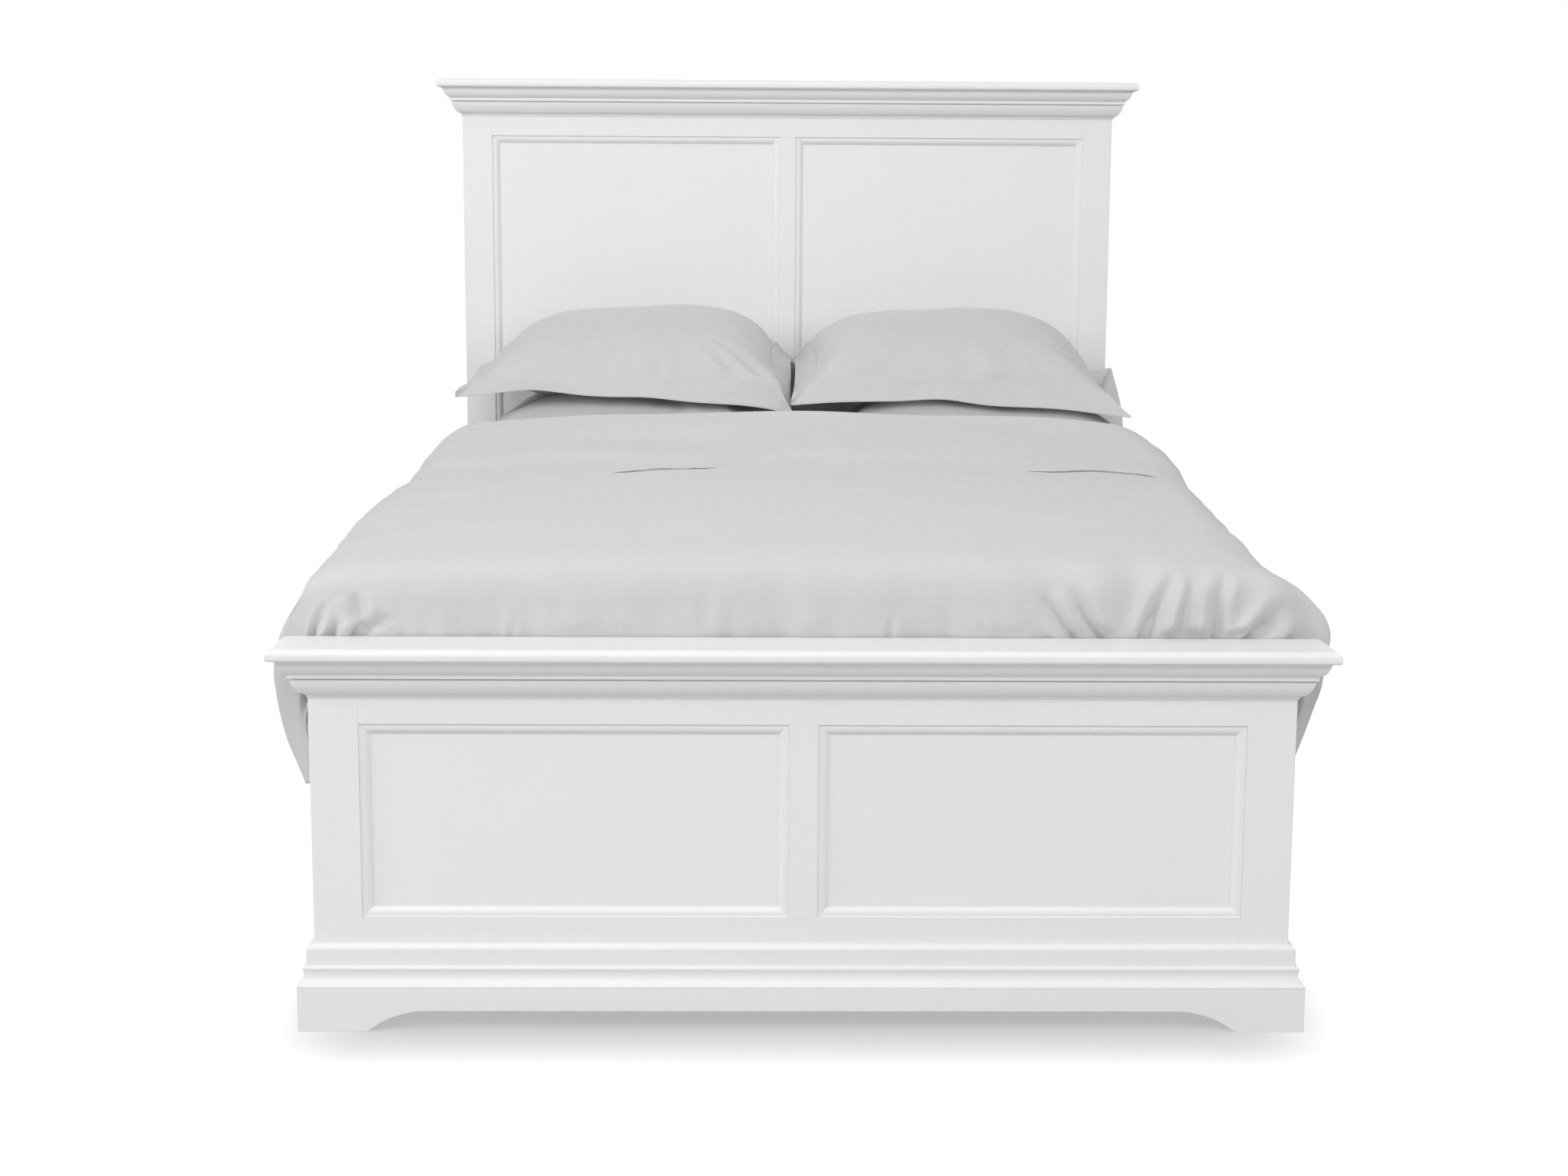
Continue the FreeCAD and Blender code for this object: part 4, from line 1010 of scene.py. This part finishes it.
across = duvet_points[..., 0]
roll_rise = flat_y - tuck_base
tuck_moves = tuck_depths(across, roll_rise) * (1 - between(roll_rise, *tuck_fade_mm))
bunched = settled_waves(across, roll_rise * 0.25, *bunch_cells_mm, 14)
bunched *= 1 - between(roll_rise, *bunch_fade_mm)
near_posts = np.maximum(between(across, *bunched_right_x), 1 - between(across, *bunched_left_x))
bunched *= least_bunched + (1 - least_bunched) * near_posts
tuck_moves += bunch_height_mm * bunched
crumple = settled_waves(across, roll_rise, crumple_cell_mm, 3 * crumple_cell_mm, 15)
tuck_moves += crumple_height_mm * crumple * (1 - between(roll_rise, *crumple_fade_mm))
tuck_moves *= 1 - between(np.abs(flat_x), *tucks_end_x)
# Below its top the cap of the footboard leaves no room to swell
room_to_swell = between(duvet_points[..., 2], *below_cap_top_z)
tuck_moves = np.where(tuck_moves > 0, tuck_moves * room_to_swell, tuck_moves)
duvet_points += grid_normals(calm_points) * tuck_moves[..., None]
print("tucks, mm:", round(float(tuck_moves.min()), 1), "to", round(float(tuck_moves.max()), 1))

# %% [markdown]
# The under face follows the upper one at the thickness of the filling, and lies flat on the mattress
# where it reaches it. It is thin at the sides and where the duvet turns back over itself. A signed
# distance says how far a point is outside the mattress, and points that would be inside are pushed
# out to the sheet. The two faces meet in a sewn edge all round.

# %% Duvet: under face and sewn edge
filling_on_top_mm = 140.0
filling_at_side_mm = 42.0
thin_side_x = (710, 860)
thin_foot_rows = (150, 330)
sewn_edge_mm = 45.0
clear_of_sheet_mm = 1.5
thinnest_mm = 3.5


def mattress_distance(points):
    """Distance outside the covered mattress and box spring, and its direction."""
    low = np.array([sheet_low.x, sheet_low.y, spring_low.z])
    high = np.array([sheet_high.x, sheet_high.y, sheet_high.z])
    middle, half = (low + high) / 2, (high - low) / 2
    radius = sheet_edge_radius_mm
    away = np.abs(points - middle) - (half - radius)
    outside = np.maximum(away, 0)
    length = np.linalg.norm(outside, axis=-1)
    inside = np.minimum(away.max(axis=-1), 0)
    steepest = away.argmax(axis=-1)
    direction = np.where(length[..., None] > 1e-6, outside / np.maximum(length, 1e-6)[..., None],
                         np.eye(3)[steepest])
    return length + inside - radius, direction * np.sign(points - middle)


def pushed_out(points, least_mm):
    """Points moved out of the mattress, to at least a distance from it."""
    distance, direction = mattress_distance(points)
    return points + direction * np.clip(least_mm - distance, 0, None)[..., None]


def under_face(points, flats):
    """The lower side of the duvet."""
    x, y = np.abs(flats[..., 0]), flats[..., 1]
    side = between(x, *thin_side_x)
    thick = filling_on_top_mm + (filling_at_side_mm - filling_on_top_mm) * side
    at_end = np.maximum(1 - between(y, *thin_foot_rows), between(y, fold_start, fold_end))
    thick = thick + (filling_at_side_mm - thick) * at_end
    to_edge = np.minimum.reduce([x.max(axis=1, keepdims=True) - x, y - y.min(), y.max() - y])
    pinch = np.sqrt(np.clip(to_edge / sewn_edge_mm, 0, 1))
    lower = points - grid_normals(points) * (thick * pinch)[..., None]
    for _ in range(3):
        lower = pushed_out(lower, clear_of_sheet_mm)
    return lower


def closed_cloth(name, upper, lower, flats, material):
    """One closed mesh of two grids that share their border."""
    rows, columns = upper.shape[:2]
    inner = np.zeros((rows, columns), bool)
    inner[1:-1, 1:-1] = True
    numbers = np.arange(rows * columns).reshape(rows, columns)
    numbers[inner] = np.arange(inner.sum()) + rows * columns
    points = np.concatenate([upper.reshape(-1, 3), lower[inner]])
    cloth_flats = np.concatenate([flats.reshape(-1, 2), flats[inner]])
    top = grid_quads(rows, columns)
    under = numbers.ravel()[top][:, ::-1]
    return make_piece(name, points, np.concatenate([top, under]), material, cloth_flats)


duvet_points = pushed_out(duvet_points, thinnest_mm)
duvet_under = under_face(calm_points, duvet_flats)
duvet = closed_cloth("duvet_filled", duvet_points, duvet_under, duvet_flats, duvet_percale)
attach(duvet, "duvet")
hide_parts("duvet")
print("duvet points:", len(duvet.data.vertices))

# %% [markdown]
# Each pillow is a plump bag inside a cover with a flat flange sewn round it. The two lower pillows
# lie on the sheet, and the upper pair leans on them, tipped a little towards the foot of the bed.
# How far the seam and the flange rise or droop is given at eight places round a pillow: the front
# left corner, the front, the front right corner and so on. A smooth curve joins those eight numbers.

# %% Pillows: how the edge bends
pillow_half = np.array([336.0, 251.0])
pillow_flange_mm = 56.0
pillow_middle_y = 750.0
lower_pillow_forward_mm = 26.0
lower_flat_mm = 80.0
upper_top_above_middle_mm = 108.2
upper_tilt = math.radians(9)
fine_grid = (161, 121)
coarse_grid = (45, 35)
drawn_in_share = 0.045
lump_share = 0.05
lump_cells_mm = (110, 90)


def place_round(across, along):
    """Where a point lies round a pillow, from 0 to 8, counting from its front left corner."""
    widest = np.maximum(np.maximum(np.abs(across), np.abs(along)), 1e-6)
    across, along = across / widest, along / widest
    on_end = np.abs(along) >= np.abs(across)
    return np.select([on_end & (along < 0), ~on_end & (across > 0), on_end & (along >= 0)],
                     [1 + across, 3 + along, 5 - across], 7 - along) % 8


def bent_round(eight, where):
    """Eight values given round the edge, joined by a smooth curve."""
    eight = np.asarray(eight, float)
    before = np.floor(where).astype(int) % 8
    share = between(where - np.floor(where), 0, 1)
    return eight[before] * (1 - share) + eight[(before + 1) % 8] * share


def pillow_body(crown, belly, sides, seam_lift, seed, grid):
    """Upper and lower faces of a pillow in its own frame, and their flat coordinates."""
    across, along = np.meshgrid(np.linspace(-1, 1, grid[0]), np.linspace(-1, 1, grid[1]))
    x = across * pillow_half[0] * (1 - drawn_in_share * (1 - along ** 2) * np.abs(across) ** 3)
    y = along * pillow_half[1] * (1 - drawn_in_share * (1 - across ** 2) * np.abs(along) ** 3)
    side_power = np.where(across < 0, sides[0], sides[1])
    end_power = np.where(along < 0, sides[2], sides[3])
    plump = (1 - np.abs(across) ** side_power) * (1 - np.abs(along) ** end_power)
    soft = 1 + lump_share * settled_waves(x, y, *lump_cells_mm, seed)
    edge = np.maximum(np.abs(across), np.abs(along)) ** 3
    lifted = bent_round(seam_lift, place_round(across, along)) * edge
    upper = np.stack([x, y, crown * plump * soft + lifted], axis=-1)
    lower = np.stack([x, y, -belly * plump + lifted], axis=-1)
    flats = np.stack([across, along], axis=-1) * pillow_half
    return upper, lower, flats


# %% [markdown]
# A flange is two layers of cover sewn together, so it is thin, it waves, and its corners are mitred.
# It starts at the seam, points outwards, and droops by an angle that changes round the pillow.

# %% Pillows: flanges
flange_layer_mm = 0.9
flange_rows = 9
flange_wave_mm = 5.0
flange_wave_length_mm = 75.0
flange_pucker_mm = 2.6
flange_pucker_length_mm = 24.0
# The droop of the flange at its seam and what it loses to its edge, as shares of its angle
seam_droop_share = 1.15
lost_droop_share = 0.2
mitre_share = 1.02


def border_of(grid):
    """The border points of a grid, once round, counter-clockwise from its first corner."""
    return np.concatenate([grid[0, :-1], grid[:-1, -1], grid[-1, :0:-1], grid[:0:-1, 0]])


def flange_rings(upper, flats, droop, seed):
    """The flange as closed rings from the seam to the edge and back, in the pillow's frame."""
    seam = border_of(upper)
    share = border_of(flats) / pillow_half
    where = place_round(share[:, 0], share[:, 1])
    outer = np.clip(share * mitre_share, -1, 1) * (pillow_half + pillow_flange_mm)
    outer = outer + seam[:, :2] - share * pillow_half
    reach = np.linalg.norm(outer - seam[:, :2], axis=1)
    direction = (outer - seam[:, :2]) / reach[:, None]
    angle = np.radians(bent_round(droop, where))
    length = path_lengths(seam)
    wave = settled_waves(length, length * 0, flange_wave_length_mm, 60, seed)
    gathers = settled_waves(length, length * 0, flange_pucker_length_mm, 60, seed + 1)
    layers = []
    for side in (flange_layer_mm, -flange_layer_mm):
        layer = []
        for out in np.linspace(0, 1, flange_rows):
            bent = angle * (seam_droop_share - lost_droop_share * out)
            aside = reach * out * np.cos(bent)
            thick = side * (0.1 + 0.9 * min(1, out * 6))
            rise = (-reach * out * np.sin(bent) + flange_wave_mm * wave * out ** 1.5
                    + flange_pucker_mm * gathers * math.sin(math.pi * min(out * 1.6, 1)) + thick)
            layer.append(np.column_stack([seam[:, :2] + direction * aside[:, None], seam[:, 2] + rise]))
        layers.append(layer)
    return layers[0] + layers[1][::-1]


# %% [markdown]
# The filling pushes the cover out against its seams. That is what a cloth simulation with pressure
# does: the cover is cut larger than the outline it is sewn to, the seam is pinned, and pressure swells
# it. Gravity stays off, and no point may move further than a limit. A coarse copy is enough for this,
# and its moves are then spread smoothly over the fine grid.

# %% Pillows: filling pressure
pattern_growth = 1.055
filling_pressure = 2.5
filling_frames = 20
most_lower_move_mm = 12.0
most_upper_move_mm = 24.0
seam_ease_share = 0.25


def filling_moves(name, upper, lower, flats, most_mm):
    """How far pressure moves each point of a coarse pillow's two faces."""
    coarse = closed_cloth(name, upper, lower, flats, pillow_percale)
    start = np.array([vertex.co for vertex in coarse.data.vertices]) / MM
    flat = np.concatenate([flats.reshape(-1, 2), flats[1:-1, 1:-1].reshape(-1, 2)]) * pattern_growth
    coarse.shape_key_add(name="sewn")
    pattern = coarse.shape_key_add(name="flat_pattern")
    pattern.data.foreach_set("co", (level(flat, 0.0) * MM).astype(np.float32).ravel())
    numbers = np.arange(upper.shape[0] * upper.shape[1]).reshape(upper.shape[:2])
    seam = coarse.vertex_groups.new(name="seam")
    seam.add([int(number) for number in border_of(numbers)], 1.0, "REPLACE")
    filling = coarse.modifiers.new("filling", "CLOTH")
    filling.settings.quality = 5
    filling.settings.mass = 0.3
    filling.settings.bending_stiffness = 0.15
    filling.settings.use_pressure = True
    filling.settings.uniform_pressure_force = filling_pressure
    filling.settings.effector_weights.gravity = 0
    filling.settings.vertex_group_mass = seam.name
    filling.settings.rest_shape_key = pattern
    filling.point_cache.frame_end = filling_frames
    for frame_number in range(1, filling_frames + 1):
        bpy.context.scene.frame_set(frame_number)
    shown = coarse.evaluated_get(bpy.context.evaluated_depsgraph_get())
    move = np.array([vertex.co for vertex in shown.data.vertices]) / MM - start
    bpy.context.scene.frame_set(1)
    bpy.data.objects.remove(coarse)
    length = np.linalg.norm(move, axis=1, keepdims=True)
    move *= np.minimum(1, most_mm / np.maximum(length, 1e-6))
    print(name, "moved up to", round(float(length.max())), "mm")
    lower_move = np.zeros(upper.shape)
    lower_move[1:-1, 1:-1] = move[numbers.size:].reshape(upper.shape[0] - 2, upper.shape[1] - 2, 3)
    return move[:numbers.size].reshape(upper.shape), lower_move


def spread(coarse, grid):
    """A coarse grid's values on a finer grid."""
    columns, rows = grid
    here_rows, here_columns, wanted_rows, wanted_columns = (
        np.linspace(0, 1, count) for count in (*coarse.shape[:2], rows, columns))
    wide = np.zeros((coarse.shape[0], columns, 3))
    fine = np.zeros((rows, columns, 3))
    for axis in range(3):
        for row in range(coarse.shape[0]):
            wide[row, :, axis] = smooth_through(here_columns, coarse[row, :, axis], wanted_columns)
        for column in range(columns):
            fine[:, column, axis] = smooth_through(here_rows, wide[:, column, axis], wanted_rows)
    return fine


# %% [markdown]
# Where cloth meets a seam it puckers: short ridges stand square to the seam and fade into the pillow.
# Longer creases run in from the corners, where the filling is thin.

# %% Pillows: puckers and creases
pucker_spacing_mm = 21.0
pucker_length_mm = 45.0
pucker_start_mm = 22
pucker_height_mm = 3.2
uneven_length_mm = 90.0
crease_spacing_mm = 42.0
crease_length_mm = 120.0
crease_start_mm = 45
crease_slant = 0.35
crease_height_mm = 6.5


def puckers(flats, seed):
    """Heights of the puckers along the seam and of the creases at the corners."""
    across, along = flats[..., 0] / pillow_half[0], flats[..., 1] / pillow_half[1]
    from_seam = np.minimum((1 - np.abs(across)) * pillow_half[0], (1 - np.abs(along)) * pillow_half[1])
    round_mm = place_round(across, along) * (pillow_half[0] + pillow_half[1]) / 2
    near_seam = np.exp(-from_seam / pucker_length_mm) * between(from_seam, 0, pucker_start_mm)
    ridges = settled_waves(round_mm, from_seam * 0.3, pucker_spacing_mm, pucker_length_mm, seed)
    uneven = between(settled_waves(round_mm, from_seam * 0, uneven_length_mm, uneven_length_mm, seed + 1),
                     -0.6, 1.0)
    near_corner = between(np.abs(across) + np.abs(along), 1.25, 1.75)
    folds = settled_waves(round_mm + crease_slant * from_seam, from_seam, crease_spacing_mm,
                          crease_length_mm, seed + 2)
    reach = np.exp(-from_seam / crease_length_mm) * between(from_seam, 0, crease_start_mm)
    return (pucker_height_mm * ridges * near_seam * (0.4 + 1.2 * uneven)
            + crease_height_mm * folds * reach * (0.25 + 0.75 * near_corner))


# %% [markdown]
# A pillow is built in its own flat frame, tilted and put in its place. The upper ones lie on the lower
# ones, so any point of an upper pillow that would be inside the one below is moved up onto it. The
# lower ones are pressed flat on the sheet.

# %% Pillows: making and placing
pillow_clearance_mm = 1.5
above_sheet_mm = 1.0
sharp_seam = math.radians(60)


def placed(points, place, tilt):
    """Turns points about the bed's width and moves them to their place."""
    y = points[..., 1] * math.cos(tilt) - points[..., 2] * math.sin(tilt)
    z = points[..., 1] * math.sin(tilt) + points[..., 2] * math.cos(tilt)
    return np.stack([points[..., 0], y, z], axis=-1) + np.array(place)


def rest_on(piece, below):
    """Moves the points of a piece that would be inside what lies below it up onto that."""
    tree = BVHTree.FromPolygons([vertex.co for vertex in below.data.vertices],
                                [tuple(face.vertices) for face in below.data.polygons])
    most = 0.0
    for vertex in piece.data.vertices:
        hit = tree.ray_cast(Vector((vertex.co.x, vertex.co.y, 2.0)), Vector((0, 0, -1)))[0]
        if hit is not None and vertex.co.z < hit.z + pillow_clearance_mm * MM:
            most = max(most, hit.z + pillow_clearance_mm * MM - vertex.co.z)
            vertex.co.z = hit.z + pillow_clearance_mm * MM
    print(piece.name, "moved up by at most", round(most / MM, 1), "mm")


def make_pillow(node, form, tilt, seam_lift, droop, seed, aside=0.0, below=None):
    """A pillow and its flange in the place of its solid."""
    low, high = box_mm(node)
    middle_z = high[2] - upper_top_above_middle_mm if tilt else low[2] + lower_flat_mm
    forward = 0 if tilt else lower_pillow_forward_mm
    place = ((low[0] + high[0]) / 2 + aside, pillow_middle_y - forward, middle_z)
    upper, lower, flats = pillow_body(*form, seam_lift, seed, fine_grid)
    coarse = pillow_body(*form, seam_lift, seed, coarse_grid)
    most_mm = most_upper_move_mm if tilt else most_lower_move_mm
    upper_move, lower_move = filling_moves(node + "_filling", *coarse, most_mm)
    from_seam = (1 - np.abs(flats) / pillow_half).min(axis=-1)
    eased = between(from_seam, 0, seam_ease_share)[..., None]
    upper += spread(upper_move, fine_grid) * eased
    lower += spread(lower_move, fine_grid) * eased
    upper += grid_normals(upper) * puckers(flats, seed + 7)[..., None]
    lower -= grid_normals(lower) * puckers(flats, seed + 11)[..., None]
    body = closed_cloth(node + "_body", placed(upper, place, tilt), placed(lower, place, tilt), flats,
                        pillow_percale)
    rings = flange_rings(upper, flats, droop, seed + 5)
    flange = ring_piece(node + "_flange", [placed(ring, place, tilt) for ring in rings],
                        [ring[:, :2] for ring in rings], pillow_percale, tube=True)
    for piece in (body, flange):
        if below is None:
            for vertex in piece.data.vertices:
                vertex.co.z = max(vertex.co.z, (sheet_high.z + above_sheet_mm) * MM)
        else:
            rest_on(piece, below)
        piece.data.set_sharp_from_angle(angle=sharp_seam)
        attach(piece, node)
    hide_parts(node)
    print(node, "middle at", [round(v) for v in place])
    return body


# A form is the height of the crown, the depth of the belly, and how square the filling is towards
# the left, the right, the front and the back. Then the seam's lift and the flange's droop have eight
# values each: front left, front, front right, right, back right, back, back left, left.
lower_form = (100, 104, (5.0, 5.0, 12.0, 4.0))
lower_left = make_pillow("lower_left_pillow", lower_form, 0, (6, 14, 6, 0, 0, 0, 0, 0),
                         (30, 75, 30, 8, 5, 5, 5, 12), 21)
lower_right = make_pillow("lower_right_pillow", lower_form, 0, (12, 14, 6, 5, 84, 10, 0, 0),
                          (30, 75, 30, 40, -50, 5, 5, 8), 31)
make_pillow("upper_left_pillow", (95, 84, (4.2, 6.4, 3.4, 4.5)), upper_tilt,
            (0, 0, -4, 0, -15, -12, -30, -14), (20, 38, 58, 35, 45, 40, 45, 26), 41, 6.0, lower_left)
make_pillow("upper_right_pillow", (95, 84, (6.8, 4.4, 3.4, 4.5)), upper_tilt,
            (0, 0, -27, -22, -34, -12, -15, 2), (30, 56, 32, 60, 55, 40, 45, 30), 51, -12.0, lower_right)
